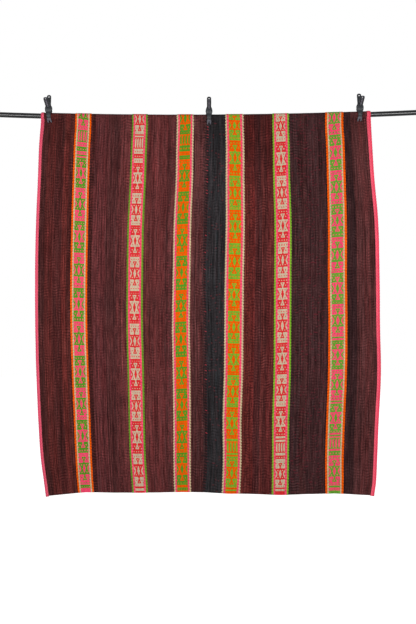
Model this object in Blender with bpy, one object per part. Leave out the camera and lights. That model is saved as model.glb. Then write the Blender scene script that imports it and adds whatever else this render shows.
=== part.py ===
"""Woven rug hung over a rod with spring clips.

A warp-faced rug, sewn from two panels, is folded over a thin crossbar: its front hangs 1.63 m and a short
flap hangs behind. Three spring clips pinch both layers under the rod. Metres, +Z up, +X along the rod to
the right, the rug's front towards -Y, origin on the rod's axis at its middle.
"""

import math
from bisect import bisect_right

import bmesh
import bpy
from mathutils import Vector

MM = 0.001
X_WAY, Y_WAY, Z_WAY = Vector((1.0, 0.0, 0.0)), Vector((0.0, 1.0, 0.0)), Vector((0.0, 0.0, 1.0))
GAP = 0.3 * MM                      # clear space between pieces that touch
ROD_GAP = 0.5 * MM                  # the same between the rod and the flat spans of the folded cloth

# Rod
ROD_RADIUS = 11 * MM
ROD_HALF_LENGTH = 1000 * MM
ROD_SAG = 23 * MM                   # how far the middle lies below the ends
ROD_RISE = 5.2 * MM                 # how far the right end lies above level, and the left end below it
ROD_SIDES = 20
ROD_SPANS = 20

# Cloth
GROUND_THICKNESS = 3.4 * MM
BAND_RELIEF = 1.2 * MM              # the patterned bands are woven double, so they stand proud
BAND_STEP = 2.5 * MM                # width over which a band's edge rises
MIN_COLUMN = 4 * MM                 # closest that a column of points comes to an edge
FRONT_LENGTH = 1625 * MM            # nominal drop of the front below the rod's axis
FOLD_SPANS = 9
UNDER_SHARES = (0.2, 0.4, 0.6, 0.8)  # rows of points between the rod's front and the pinched patch
UNDER_SLACK = 0.4 * MM              # how far the cloth stands off the rod there
FOLD_ARC = math.pi * (ROD_RADIUS + ROD_GAP + GROUND_THICKNESS / 2)

# Edge bindings
BINDING_WIDTH = {"left": 15 * MM, "right": 18.5 * MM}
BINDING_THICKNESS = 6 * MM
BINDING_OVERHANG = 2.5 * MM         # how far it runs past the cloth's ends

# Where the cloth lies across the rod, in mm from the middle, at each distance along the cloth below the
# rod's axis. Distances below zero lie on the fold and the flap. a to f are the centres of the bands.
LAY_COLUMNS = ("drop", "left", "a", "b", "c", "seam", "d", "e", "f", "right")
LAY_ROWS = (
    (-120, -717, -531, -290, -96, -7, 112, 312, 541, 698),
    (-20, -725, -538, -294, -98, -7, 114, 314, 546, 706),
    (40, -728, -540, -295, -98, -7, 115, 315, 548, 708),
    (130, -734, -545, -299, -100, -5, 117, 317, 552, 713),
    (270, -739, -551, -304, -103, -4, 117, 319, 557, 722),
    (460, -747, -557, -313, -110, -7, 118, 324, 562, 739),
    (680, -751, -561, -317, -115, -10, 115, 324, 562, 745),
    (900, -750, -560, -318, -118, -11, 112, 323, 563, 747),
    (1110, -745, -554, -314, -115, -11, 110, 321, 561, 751),
    (1310, -736, -546, -309, -113, -11, 106, 315, 553, 741),
    (1460, -726, -539, -305, -112, -11, 105, 314, 548, 735),
    (1565, -712, -532, -298, -111, -13, 102, 313, 548, 730),
    (1625, -704, -527, -293, -109, -13, 99, 311, 546, 722),
)
# How far the hem lies below the rod's middle, in mm, at the same places
HEM_DROP = {"left": 1637, "a": 1621, "b": 1624, "c": 1618, "seam": 1620,
            "d": 1628, "e": 1632, "f": 1625, "right": 1635}
BAND_WIDTH = {"a": 74, "b": 77, "c": 84, "d": 88, "e": 81, "f": 77}

# Distances down the front, in mm, at which the hanging cloth has a row of points
HANG_DROPS = (250, 350, 460, 580, 700, 820, 940, 1060, 1180, 1290, 1390, 1470, 1540, 1590, 1625)
FLAP_DEPTHS = (80, 60, 45, 30, 17, 8)  # the same on the flap behind, from its end up

# Soft upright waves of the hanging front: wavelength, place of a crest and height, in mm
WAVES = ((610, -420, 4.0), (377, 130, 2.5), (233, -60, 1.2))
WAVE_START = 190 * MM

# Spring clips. They lean forward, so that the jaws meet behind the rod's middle.
CLIP_PLACES = {"left": -687 * MM, "middle": 4.5 * MM, "right": 657 * MM}
CLIP_TILT = math.radians(22)
CLIP_LEAN = {"left": math.radians(-2.5), "middle": 0.0, "right": 0.0}  # to the right
JAW_REACH = 51.5 * MM               # pivot to the middle of the jaw's nose
NOSE_RADIUS = 2.5 * MM
PINCH_Y = 10 * MM                   # where the two layers meet under the rod
PINCH_DEPTH = 21.7 * MM             # middle of the jaws' noses below the rod's axis
PINCH_TOP = 17 * MM                 # the pinched patch runs from here
PINCH_BOTTOM = 30 * MM              # down to here
DENT_HALF_WIDTH = 11 * MM           # flat part of the dent that a jaw makes
DENT_FADE = 40 * MM                 # the dent fades to nothing over this width on each side
DENT_COLUMNS = (0.0, 0.35, 0.65, 1.0)  # where the fading dent has columns of points
DENT_DROPS = (44, 65, 95, 135, 190)  # the front swings back to its plane over these distances, in mm
FLAP_DENT_FADE = 20 * MM

# One arm of a clip, from the end of its handle to its jaw, in mm from the pivot
ARM_COLUMNS = ("out", "up", "thickness", "half_width", "groove")
ARM_ROWS = (
    (44.8, 56.3, 2.4, 3.0, 0.0),
    (43.5, 54.7, 3.6, 6.0, 0.0),
    (41.3, 51.9, 4.6, 7.9, 0.0),
    (36.5, 45.8, 5.0, 8.6, 1.6),
    (24.0, 29.9, 5.0, 8.2, 1.8),
    (14.6, 17.4, 5.2, 8.6, 1.8),
    (10.6, 9.0, 5.4, 12.5, 1.8),
    (9.8, 0.0, 5.4, 14.0, 1.8),
    (11.4, -8.0, 5.4, 12.5, 1.8),
    (16.4, -14.5, 5.2, 9.6, 1.8),
    (19.4, -22.5, 5.0, 9.0, 1.8),
    (19.6, -30.0, 5.0, 9.2, 1.8),
    (16.8, -38.0, 5.0, 9.6, 1.6),
    (11.6, -45.6, 5.0, 9.6, 0.0),
)
# The nose that presses the cloth, in mm below JAW_REACH
NOSE_COLUMNS = ("below", "thickness", "half_width")
NOSE_ROWS = (
    (0.0, 5.0, 9.4),
    (1.3, 4.0, 9.0),
    (2.1, 1.6, 8.4),
)
NOSE_LEAN = 0.8                     # how far the nose runs inwards for each step down
RIM_WIDTH = 2.0 * MM
GROOVE_SLOPE = 0.4 * MM
HANDLE_LENGTH = 72 * MM
RING_HOLE_RADIUS = 4.2 * MM
RING_HOLE_INSET = 9.5 * MM          # hole centre to the end of the handle
FORK_WIDTH = 4.2 * MM
FORK_TOP = -42.5 * MM
EAR_RADIUS = 6 * MM
EAR_THICKNESS = 3 * MM
EAR_ROOT = 9.3 * MM                 # how far from the pivot an ear is sunk into its lever
EAR_INNER_FACE = {"front": 11.2 * MM, "back": 7.9 * MM}
PIN_RADIUS = 2 * MM
PIN_HEAD_RADIUS = 3.4 * MM
PIN_HEAD_LENGTH = 1.2 * MM
SPRING_RADIUS = 3.4 * MM
WIRE_RADIUS = 0.8 * MM
SPRING_HALF_WIDTH = 5.5 * MM
SPRING_TURNS = 4.5
SPRING_STEPS = 10                   # points to a turn
SPRING_KNEE = (5.2 * MM, 9.0 * MM)
SPRING_FOOT = (11.3 * MM, 19.3 * MM)


def rod_height(x):
    """Height of the rod's axis above its middle."""
    along = x / ROD_HALF_LENGTH
    return ROD_SAG * along ** 2 + ROD_RISE * along


def ease(t):
    """0 to 1, level at both ends."""
    t = min(max(t, 0.0), 1.0)
    return 0.5 - 0.5 * math.cos(math.pi * t)


def lay(place, drop):
    """X of a place of the cloth at a distance along it, as a smooth curve through the table."""
    column = LAY_COLUMNS.index(place)
    drops = [row[0] * MM for row in LAY_ROWS]
    values = [row[column] * MM for row in LAY_ROWS]
    drop = min(max(drop, drops[0]), drops[-1])
    k = min(bisect_right(drops, drop), len(drops) - 1)
    span = drops[k] - drops[k - 1]

    def slope(i):
        before, after = max(i - 1, 0), min(i + 1, len(drops) - 1)
        return (values[after] - values[before]) / (drops[after] - drops[before])

    t = (drop - drops[k - 1]) / span
    return ((2 * t ** 3 - 3 * t ** 2 + 1) * values[k - 1] + (t ** 3 - 2 * t ** 2 + t) * span * slope(k - 1)
            + (3 * t ** 2 - 2 * t ** 3) * values[k] + (t ** 3 - t ** 2) * span * slope(k))


def hem_height(x):
    """Height of the hem, by straight lines between the places of the cloth."""
    places = LAY_COLUMNS[1:]
    xs = [LAY_ROWS[-1][LAY_COLUMNS.index(place)] * MM for place in places]
    k = min(max(bisect_right(xs, x), 1), len(xs) - 1)
    t = (x - xs[k - 1]) / (xs[k] - xs[k - 1])
    t = min(max(t, 0.0), 1.0)
    return -MM * ((1 - t) * HEM_DROP[places[k - 1]] + t * HEM_DROP[places[k]])


def dent(x):
    """1 where a jaw presses the cloth, fading to 0 on each side."""
    reach = min(abs(x - place) for place in CLIP_PLACES.values())
    return 1 - ease((reach - DENT_HALF_WIDTH) / DENT_FADE)


def wave(x, drop):
    """Forward and back swing of the hanging front, growing towards the hem."""
    grown = ease((drop - WAVE_START) / (FRONT_LENGTH - WAVE_START))
    swing = sum(height * MM * math.cos(math.tau * (x / MM - crest) / length)
                for length, crest, height in WAVES)
    return grown * swing


def cloth_path(thickness):
    """Rows of the cloth's middle surface, from the flap's end to the hem, as (drop, place of x) functions."""
    radius = ROD_RADIUS + ROD_GAP + thickness / 2
    half_stack = (thickness + GAP) / 2
    rows = []

    def flap_row(depth):
        patch = max(PINCH_TOP - depth, depth - PINCH_BOTTOM, 0.0)
        press = 1 - ease(patch / FLAP_DENT_FADE)
        inward = max(radius - PINCH_Y - half_stack, 0.0) * press
        return lambda x: (radius - inward * dent(x), rod_height(x) - depth)

    def fold_row(turn):
        angle = math.pi * turn
        return lambda x: (radius * math.cos(angle), rod_height(x) + radius * math.sin(angle))

    def front_y(x):
        return -radius + (radius + PINCH_Y - half_stack) * dent(x)

    def under_row(share):
        """A row between the rod's front and the pinched patch, round the rod and then straight."""
        def point(x):
            y = front_y(x)
            whole = math.pi + math.atan2(-PINCH_TOP, y)
            slack = radius + UNDER_SLACK * dent(x)
            leave = whole - math.acos(min(slack / math.hypot(y, PINCH_TOP), 1.0))
            angle = share * whole
            reach = slack / math.cos(max(angle - leave, 0.0))
            return -reach * math.cos(angle), rod_height(x) - reach * math.sin(angle)
        return point

    def front_row(drop):
        back = ease((drop - PINCH_BOTTOM) / (WAVE_START - PINCH_BOTTOM))

        def point(x):
            y = front_y(x) * (1 - back) - radius * back + wave(x, drop)
            share = drop / FRONT_LENGTH
            return y, rod_height(x) * (1 - share) + hem_height(x) * share
        return point

    for depth in FLAP_DEPTHS:
        rows.append((-FOLD_ARC - depth * MM, flap_row(depth * MM)))
    for k in range(FOLD_SPANS + 1):
        turn = k / FOLD_SPANS
        rows.append(((turn - 1) * FOLD_ARC, fold_row(turn)))
    for share in UNDER_SHARES:
        rows.append((share * PINCH_TOP, under_row(share)))
    for drop in (PINCH_TOP / MM, PINCH_BOTTOM / MM) + DENT_DROPS + HANG_DROPS:
        rows.append((drop * MM, front_row(drop * MM)))
    return rows


def cloth_points(x_of_drop, thickness):
    """Points on the inner and the outer skin down one column of the cloth."""
    middle = []
    for drop, place in cloth_path(thickness):
        x = x_of_drop(drop)
        y, z = place(x)
        middle.append(Vector((x, y, z)))
    inner, outer = [], []
    for k, point in enumerate(middle):
        along = middle[min(k + 1, len(middle) - 1)] - middle[max(k - 1, 0)]
        out = Vector((0.0, along.z, -along.y)).normalized()
        inner.append(point - out * thickness / 2)
        outer.append(point + out * thickness / 2)
    return inner, outer


def closed_sheet(name, columns):
    """One closed solid from columns of (inner, outer) points."""
    bm = bmesh.new()
    inner = [[bm.verts.new(p) for p in column[0]] for column in columns]
    outer = [[bm.verts.new(p) for p in column[1]] for column in columns]
    rows = range(len(inner[0]) - 1)
    for c in range(len(columns) - 1):
        for r in rows:
            bm.faces.new((outer[c][r], outer[c][r + 1], outer[c + 1][r + 1], outer[c + 1][r]))
            bm.faces.new((inner[c][r], inner[c + 1][r], inner[c + 1][r + 1], inner[c][r + 1]))
        for r in (0, -1):
            bm.faces.new((inner[c][r], outer[c][r], outer[c + 1][r], inner[c + 1][r]))
    for c in (0, -1):
        for r in rows:
            bm.faces.new((inner[c][r], inner[c][r + 1], outer[c][r + 1], outer[c][r]))
    return finished(name, bm)


def finished(name, bm):
    """Turn a bmesh into an object with its faces pointing out."""
    bmesh.ops.recalc_face_normals(bm, faces=bm.faces)
    mesh = bpy.data.meshes.new(name)
    bm.to_mesh(mesh)
    bm.free()
    obj = bpy.data.objects.new(name, mesh)
    bpy.context.collection.objects.link(obj)
    mesh.shade_smooth()
    mesh.set_sharp_from_angle(angle=math.radians(35))
    return obj


def joined_rings(bm, rings):
    """Faces between each ring of vertices and the next, with an end face on the first and the last."""
    for low, high in zip(rings, rings[1:]):
        for k in range(len(low)):
            n = (k + 1) % len(low)
            bm.faces.new((low[k], low[n], high[n], high[k]))
    bm.faces.new(rings[0])
    bm.faces.new(rings[-1])


def circle(bm, centre, across, up, radius, sides):
    """A ring of vertices round a centre, in the plane of two directions."""
    turns = [math.tau * k / sides for k in range(sides)]
    return [bm.verts.new(centre + radius * (across * math.cos(t) + up * math.sin(t))) for t in turns]


def material(name, color, roughness, metallic=0.0):
    mat = bpy.data.materials.new(name)
    mat.use_nodes = True
    shader = mat.node_tree.nodes["Principled BSDF"]
    shader.inputs["Base Color"].default_value = (*color, 1.0)
    shader.inputs["Roughness"].default_value = roughness
    shader.inputs["Metallic"].default_value = metallic
    return mat


def edge_columns(place, inward, clip, inset):
    """Columns of an edge of a panel, from the edge inwards, close together where the clip dents the cloth."""
    around = CLIP_PLACES[clip] - lay(place, 0.0)
    fades = [DENT_HALF_WIDTH + DENT_FADE * share for share in DENT_COLUMNS]
    depths = [inward * (around + sign * fade) for fade in fades for sign in (-1, 1)]
    depths = [inset] + sorted(depth for depth in depths if depth > inset + MIN_COLUMN)
    return [(place, inward * depth, 0.0) for depth in depths]


def band_columns(band, inward):
    """Columns of one raised band, in the order in which they lie inwards."""
    half = BAND_WIDTH[band] * MM / 2
    step = BAND_STEP / 2
    shifts = ((-half - step, 0.0), (-half + step, BAND_RELIEF), (half - step, BAND_RELIEF), (half + step, 0.0))
    return [(band, inward * shift, relief) for shift, relief in shifts]


def panel(name, edge, bands, mat):
    """One woven panel, from its bound edge over three raised bands to the seam."""
    inward = 1 if edge == "left" else -1
    columns = edge_columns(edge, inward, edge, BINDING_WIDTH[edge] + GAP)
    for band, following in zip(bands, bands[1:] + (None,)):
        columns += band_columns(band, inward)
        if following:
            columns.append((band, (lay(following, 0.0) - lay(band, 0.0)) / 2, 0.0))
    columns += reversed(edge_columns("seam", -inward, "middle", GAP / 2))
    points = []
    for place, shift, relief in columns:
        points.append(cloth_points(lambda drop: lay(place, drop) + shift, GROUND_THICKNESS + relief))
    obj = closed_sheet(name, points)
    obj.data.materials.append(mat)
    return obj


def binding(name, place, mat):
    """A flat tubular braid along an outer edge, with eight points round its section."""
    width = BINDING_WIDTH[place]
    side = 1 if place == "left" else -1
    section = [(0.0, 0.22), (0.22, 0.5), (0.78, 0.5), (1.0, 0.22), (1.0, -0.22), (0.78, -0.5), (0.22, -0.5),
               (0.0, -0.22)]
    rings = []
    for across, lift in section:
        inner, outer = cloth_points(lambda drop: lay(place, drop) + side * across * width, BINDING_THICKNESS)
        rings.append([i.lerp(o, lift + 0.5) for i, o in zip(inner, outer)])
    bm = bmesh.new()
    loops = [[bm.verts.new(ring[r]) for ring in rings] for r in range(len(rings[0]))]
    for vert in loops[0] + loops[-1]:
        vert.co.z -= BINDING_OVERHANG
    joined_rings(bm, loops)
    obj = finished(name, bm)
    obj.data.materials.append(mat)
    return obj


def rod(mat):
    """The crossbar, bent by the rug's weight, with upright end faces."""
    bm = bmesh.new()
    rings = []
    for k in range(ROD_SPANS + 1):
        x = ROD_HALF_LENGTH * (2 * k / ROD_SPANS - 1)
        rings.append(circle(bm, Vector((x, 0.0, rod_height(x))), Y_WAY, Z_WAY, ROD_RADIUS, ROD_SIDES))
    joined_rings(bm, rings)
    obj = finished("rod", bm)
    obj.data.materials.append(mat)
    return obj


def guide(name, bm):
    """An object that only cuts or joins, and isn't part of the model."""
    obj = finished(name, bm)
    obj.hide_render = True
    obj.display_type = "WIRE"
    return obj


def arm_rows(side):
    """The arm's rows in metres, with the nose placed so that it nearly touches the cloth."""
    nose_out = (GROUND_THICKNESS + GAP / 2 + GAP + NOSE_RADIUS) / math.cos(CLIP_TILT)
    rows = [dict(zip(ARM_COLUMNS, (value * MM for value in row))) for row in ARM_ROWS]
    for values in NOSE_ROWS:
        row = dict(zip(NOSE_COLUMNS, (value * MM for value in values)))
        row.update(out=nose_out - NOSE_LEAN * row["below"], up=-JAW_REACH - row["below"], groove=0.0)
        rows.append(row)
    for row in rows:
        row["out"] *= side
    return rows


def arm(name, kind, mat):
    """One plastic arm: a grooved lever with a ring at its handle, ears at the pivot and a forked nose."""
    side = -1 if kind == "front" else 1
    rows = arm_rows(side)
    bm = bmesh.new()
    loops = []
    for k, row in enumerate(rows):
        before, after = rows[max(k - 1, 0)], rows[min(k + 1, len(rows) - 1)]
        down = Vector((after["out"] - before["out"], after["up"] - before["up"])).normalized()
        away = Vector((-down.y, down.x)) * side
        edge = row["half_width"]
        rim = edge - min(RIM_WIDTH, edge / 3)
        half = row["thickness"] / 2
        floor = half - row["groove"]
        section = ((-edge, -half), (edge, -half), (edge, half), (rim, half), (rim - GROOVE_SLOPE, floor),
                   (-rim + GROOVE_SLOPE, floor), (-rim, half), (-edge, half))
        loops.append([bm.verts.new((x, row["out"] + away.x * n, row["up"] + away.y * n)) for x, n in section])
    joined_rings(bm, loops)
    obj = finished(name, bm)
    obj.data.materials.append(mat)
    add_ears(obj, kind, side)
    cut_holes(obj, side)
    return obj


def add_ears(obj, kind, side):
    """Two ears that reach from the lever to the pivot pin, joined to it by a union."""
    inner = EAR_INNER_FACE[kind]
    root = side * EAR_ROOT
    turns = [math.pi * (k / 8 - 0.5) for k in range(9)]
    round_end = [(-side * EAR_RADIUS * math.cos(t), EAR_RADIUS * math.sin(t)) for t in turns]
    outline = [(root, -EAR_RADIUS)] + round_end + [(root, EAR_RADIUS)]
    for which, low in (("left", -inner - EAR_THICKNESS), ("right", inner)):
        bm = bmesh.new()
        rings = [[bm.verts.new((x, y, z)) for y, z in outline] for x in (low, low + EAR_THICKNESS)]
        joined_rings(bm, rings)
        apply_boolean(obj, guide(f"{obj.name}_ear_{which}", bm), "UNION")


def cut_holes(obj, side):
    """The pin's hole, the ring in the handle and the fork in the nose."""
    bm = bmesh.new()
    joined_rings(bm, [circle(bm, X_WAY * x, Y_WAY, Z_WAY, PIN_RADIUS + GAP, 12) for x in (-20 * MM, 20 * MM)])
    apply_boolean(obj, guide(f"{obj.name}_pin_hole", bm), "DIFFERENCE")

    end = dict(zip(ARM_COLUMNS, ARM_ROWS[0]))
    lever = Vector((0.0, side * end["out"], end["up"])).normalized()
    centre = lever * (HANDLE_LENGTH - RING_HOLE_INSET)
    through = lever.cross(X_WAY)
    bm = bmesh.new()
    joined_rings(bm, [circle(bm, centre + through * depth, X_WAY, lever, RING_HOLE_RADIUS, 14)
                      for depth in (-10 * MM, 10 * MM)])
    apply_boolean(obj, guide(f"{obj.name}_ring_hole", bm), "DIFFERENCE")

    bm = bmesh.new()
    bmesh.ops.create_cube(bm, size=1.0)
    for vert in bm.verts:
        vert.co = Vector((vert.co.x * FORK_WIDTH, vert.co.y * 60 * MM, FORK_TOP + (vert.co.z - 0.5) * 30 * MM))
    apply_boolean(obj, guide(f"{obj.name}_fork", bm), "DIFFERENCE")


def apply_boolean(obj, tool, operation):
    """Join a guide to an object, or cut it away."""
    mod = obj.modifiers.new(tool.name, "BOOLEAN")
    mod.object = tool
    mod.operation = operation
    mod.solver = "EXACT"
    tool.parent = obj


def pin(name, mat):
    """Steel pivot pin with a head at each end."""
    ear_face = EAR_INNER_FACE["front"] + EAR_THICKNESS + GAP
    profile = ((-ear_face - PIN_HEAD_LENGTH, PIN_HEAD_RADIUS), (-ear_face, PIN_HEAD_RADIUS),
               (-ear_face, PIN_RADIUS), (ear_face, PIN_RADIUS), (ear_face, PIN_HEAD_RADIUS),
               (ear_face + PIN_HEAD_LENGTH, PIN_HEAD_RADIUS))
    bm = bmesh.new()
    joined_rings(bm, [circle(bm, X_WAY * x, Y_WAY, Z_WAY, radius, 12) for x, radius in profile])
    obj = finished(name, bm)
    obj.data.materials.append(mat)
    return obj


def spring(name, mat):
    """Torsion spring round the pin, with a leg against the inside of each handle."""
    points = []

    def leg(side):
        x = side * SPRING_HALF_WIDTH
        foot, knee = SPRING_FOOT, SPRING_KNEE
        return [(x, side * foot[0], foot[1]), (x, side * knee[0], knee[1])]

    points.extend(leg(-1))
    steps = int(SPRING_TURNS * SPRING_STEPS)
    for k in range(steps + 1):
        turn = math.pi + math.tau * SPRING_TURNS * k / steps
        x = SPRING_HALF_WIDTH * (2 * k / steps - 1)
        points.append((x, SPRING_RADIUS * math.cos(turn), SPRING_RADIUS * math.sin(turn)))
    points.extend(reversed(leg(1)))

    curve = bpy.data.curves.new(name, "CURVE")
    curve.dimensions = "3D"
    curve.bevel_depth = WIRE_RADIUS
    curve.bevel_resolution = 1
    curve.use_fill_caps = True
    spline = curve.splines.new("POLY")
    spline.points.add(len(points) - 1)
    for slot, point in zip(spline.points, points):
        slot.co = (*point, 1.0)
    obj = bpy.data.objects.new(name, curve)
    bpy.context.collection.objects.link(obj)
    obj.data.materials.append(mat)
    return obj


def clip(which, x, plastic, steel):
    """A spring clip, hung from an empty on its pivot."""
    pivot = bpy.data.objects.new(f"clip_{which}_pivot", None)
    bpy.context.collection.objects.link(pivot)
    lean = CLIP_LEAN[which]
    rise = JAW_REACH * math.cos(CLIP_TILT)
    pivot.location = (x + rise * math.sin(lean), PINCH_Y - JAW_REACH * math.sin(CLIP_TILT),
                      rod_height(x) - PINCH_DEPTH + rise * math.cos(lean))
    pivot.rotation_euler = (CLIP_TILT, lean, 0.0)
    pieces = [arm(f"clip_{which}_front_arm", "front", plastic), arm(f"clip_{which}_back_arm", "back", plastic),
              pin(f"clip_{which}_pin", steel), spring(f"clip_{which}_spring", steel)]
    for piece in pieces:
        piece.parent = pivot


def build():
    for obj in list(bpy.data.objects):
        bpy.data.objects.remove(obj, do_unlink=True)
    wool_left = material("brown_wool_left", (0.10, 0.025, 0.024), 0.95)
    wool_right = material("brown_wool_right", (0.075, 0.02, 0.02), 0.95)
    braid = material("pink_braid", (0.80, 0.09, 0.14), 0.9)
    gloss_black = material("gloss_black", (0.015, 0.017, 0.019), 0.25)
    plastic = material("black_plastic", (0.035, 0.037, 0.04), 0.5)
    steel = material("steel", (0.55, 0.55, 0.56), 0.3, 1.0)

    rod(gloss_black)
    panel("panel_left", "left", ("a", "b", "c"), wool_left)
    panel("panel_right", "right", ("f", "e", "d"), wool_right)
    binding("binding_left", "left", braid)
    binding("binding_right", "right", braid)
    for which, x in CLIP_PLACES.items():
        clip(which, x, plastic, steel)


build()
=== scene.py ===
# Looks of the woven rug that hangs over a rod with spring clips
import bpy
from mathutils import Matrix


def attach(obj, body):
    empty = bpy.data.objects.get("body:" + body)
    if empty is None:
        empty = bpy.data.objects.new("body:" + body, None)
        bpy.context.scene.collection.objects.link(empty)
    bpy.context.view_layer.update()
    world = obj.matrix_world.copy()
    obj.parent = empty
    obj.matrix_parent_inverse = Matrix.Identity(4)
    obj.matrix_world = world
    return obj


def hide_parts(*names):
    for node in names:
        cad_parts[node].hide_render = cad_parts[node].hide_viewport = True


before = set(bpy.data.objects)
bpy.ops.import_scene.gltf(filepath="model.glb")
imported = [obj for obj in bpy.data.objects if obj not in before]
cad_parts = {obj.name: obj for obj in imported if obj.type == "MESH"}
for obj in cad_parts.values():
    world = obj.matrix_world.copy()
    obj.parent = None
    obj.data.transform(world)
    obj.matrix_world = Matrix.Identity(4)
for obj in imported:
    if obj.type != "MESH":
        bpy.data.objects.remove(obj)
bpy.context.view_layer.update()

import math
from functools import partialmethod

import bmesh
import bpy
import numpy as np
from mathutils import Euler, Matrix, Vector

MM = 0.001
X_WAY = Vector((1.0, 0.0, 0.0))
Y_WAY = Vector((0.0, 1.0, 0.0))
Z_WAY = Vector((0.0, 0.0, 1.0))
NEARLY_UPRIGHT = 0.9  # a way that runs along Z by more than this is crossed with X_WAY
GAP = 0.3 * MM  # between parts that don't touch
CREASE = {"sheet": math.radians(50), "hard": math.radians(35)}  # sharper edges stay sharp
ROD_GAP = 0.5 * MM  # between the rod and the cloth

# Rod
ROD_RADIUS = 11 * MM
ROD_HALF_LENGTH = 1000 * MM
ROD_SAG = 23 * MM
ROD_RISE = 5.2 * MM
ROD_SIDES = 48
ROD_SPANS = 80
ROD_EDGE = 1.2 * MM  # rounding of its ends
ROD_ROUNDING = ((0.0, 1.0), (0.3, 0.25), (1.0, 0.0))  # how far along and how much thinner, in ROD_EDGE

# Cloth, as in the solids
GROUND_THICKNESS = 3.4 * MM
FRONT_LENGTH = 1625 * MM
FLAP_LENGTH = 80 * MM
UNDER_SLACK = 0.4 * MM
FOLD_ARC = math.pi * (ROD_RADIUS + ROD_GAP + GROUND_THICKNESS / 2)
CLOTH_END = -FOLD_ARC - FLAP_LENGTH  # where the cloth starts, on the flap behind
MID_DROP = 900 * MM  # where the stripes' places across the rug are measured

# Where the cloth lies across the rod, in mm from the middle, at each distance along the cloth below the
# rod's axis. Distances below zero lie on the fold and the flap. a to f are the centres of the bands.
LAY_COLUMNS = ("drop", "left", "a", "b", "c", "seam", "d", "e", "f", "right")
LAY_ROWS = (
    (-120, -717, -531, -290, -96, -7, 112, 312, 541, 698),
    (-20, -725, -538, -294, -98, -4, 114, 314, 546, 706),
    (40, -728, -539, -294, -98, -3, 115, 314, 545, 708),
    (130, -734, -544, -298, -100, -4, 117, 316, 550, 713),
    (270, -739, -549, -303, -102, -6, 117, 318, 554, 722),
    (460, -747, -554, -312, -110, -10, 118, 324, 559, 739),
    (680, -751, -558, -316, -114, -16, 114, 323, 559, 745),
    (900, -750, -558, -317, -117, -13, 112, 322, 561, 747),
    (1110, -745, -552, -312, -114, -11, 110, 320, 559, 751),
    (1310, -736, -544, -308, -112, -10, 104, 314, 551, 741),
    (1460, -726, -538, -304, -112, -9, 105, 313, 546, 735),
    (1565, -712, -532, -297, -111, -14, 102, 312, 546, 730),
    (1625, -704, -527, -293, -109, -17, 99, 311, 546, 722),
)
LAY = {name: np.array([row[k] for row in LAY_ROWS]) * MM for k, name in enumerate(LAY_COLUMNS)}
# How far the hem lies below the rod's middle, in mm, at the same places
HEM_DROP = {"left": 1637, "a": 1621, "b": 1624, "c": 1618, "seam": 1620,
            "d": 1628, "e": 1632, "f": 1625, "right": 1635}
WAVES = ((610, -420, 4.0), (377, 130, 2.5), (233, -60, 1.2))
WAVE_START = 190 * MM
# Fine unevenness of the hanging cloth: wavelengths across and down, turn and height, in mm
RIPPLES = ((97, 410, 0.3, 0.45), (61, 233, 2.1, 0.3), (149, 127, 4.0, 0.4))

# Clips and the dents that they make
CLIP_PLACES = {"left": -687 * MM, "middle": 4.5 * MM, "right": 657 * MM}
CLIP_TILT = math.radians(22)
CLIP_LEAN = {"left": math.radians(-2.5), "middle": 0.0, "right": 0.0}
JAW_REACH = 51.5 * MM
NOSE_RADIUS = 2.5 * MM
PINCH_Y = 10 * MM
PINCH_DEPTH = 21.7 * MM
PINCH_TOP = 17 * MM
PINCH_BOTTOM = 30 * MM
DENT_HALF_WIDTH = 11 * MM
DENT_FADE = 40 * MM
FLAP_DENT_FADE = 20 * MM

# One arm of a clip, on the solids' curve: from the end of its handle to its jaw, in mm from the pivot, with
# the distance out, the height, the thickness, half the width and the groove's depth
ARM_ROWS = (
    (44.8, 56.3, 2.4, 3.0, 0.0),
    (43.5, 54.7, 3.6, 6.4, 0.0),
    (41.3, 51.9, 4.6, 8.8, 0.0),
    (36.5, 45.8, 5.0, 9.4, 1.6),
    (24.0, 29.9, 5.0, 9.2, 1.8),
    (14.6, 17.4, 5.2, 9.4, 1.8),
    (11.6, 11.6, 5.4, 12.4, 1.8),
    (10.2, 6.4, 5.4, 13.8, 1.8),
    (9.8, 0.0, 5.4, 14.0, 1.8),
    (11.4, -8.0, 5.4, 12.8, 1.8),
    (16.4, -14.5, 5.2, 9.6, 1.8),
    (19.4, -22.5, 5.0, 8.4, 1.8),
    (19.6, -30.0, 5.0, 8.0, 1.8),
    (16.8, -38.0, 5.0, 8.8, 1.6),
    (11.6, -45.6, 5.0, 9.6, 0.0),
)
# The nose that presses the cloth: mm below JAW_REACH, thickness and half the width
NOSE_ROWS = ((0.0, 5.0, 9.4), (1.3, 4.0, 9.0), (2.1, 1.6, 8.4))
NOSE_LEAN = 0.8  # how far the nose runs inwards for each step down
ARM_STEPS = 8  # rows of points for each row of the table
RUBBED_HIGHLIT_SIDES = (14, 15, 16)  # the sides of an arm's section that make the rib, paler as rubbed plastic and as painted highlight
RUBBED_HIGHLIT_JAW = -31 * MM  # below this the whole jaw is rubbed pale and painted as a highlight
CORNER_RADIUS = 0.9 * MM
CORNER_SHARES = (0.4, 0.9)  # and at most so much of half the width and of half the thickness
CORNER_TURNS = (0.0, 1 / 3, 2 / 3, 1.0)
RIM_WIDTH = 2.0 * MM
GROOVE_SLOPE = 0.4 * MM
RIB_HALF_WIDTH = 2.3 * MM  # of the rib in the groove
RIB_FOOT = 1.4  # the rib's width at its foot as a share of that at its top
RIB_SHARE = 0.45  # the rib's height as a share of the groove's depth
STUD_SHARE = 0.5  # and how much of it comes and goes along the handle, as a row of studs
STUD_PITCH = 10.8 * MM
STUD_END = 16 * MM  # the studs end this far above the pivot
HANDLE_LENGTH = 72 * MM
RING_HOLE_RADIUS = 3.5 * MM
RING_HOLE_INSET = 9.5 * MM  # hole centre to the end of the handle
RING_HOLE_SIDES = 32
CUTTER_LENGTH = 60 * MM  # of the bodies that cut holes, longer than any hole
FORK_WIDTHS = (3.0 * MM, 12.5 * MM)  # of the cutter, at its top and at its foot below the nose
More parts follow.
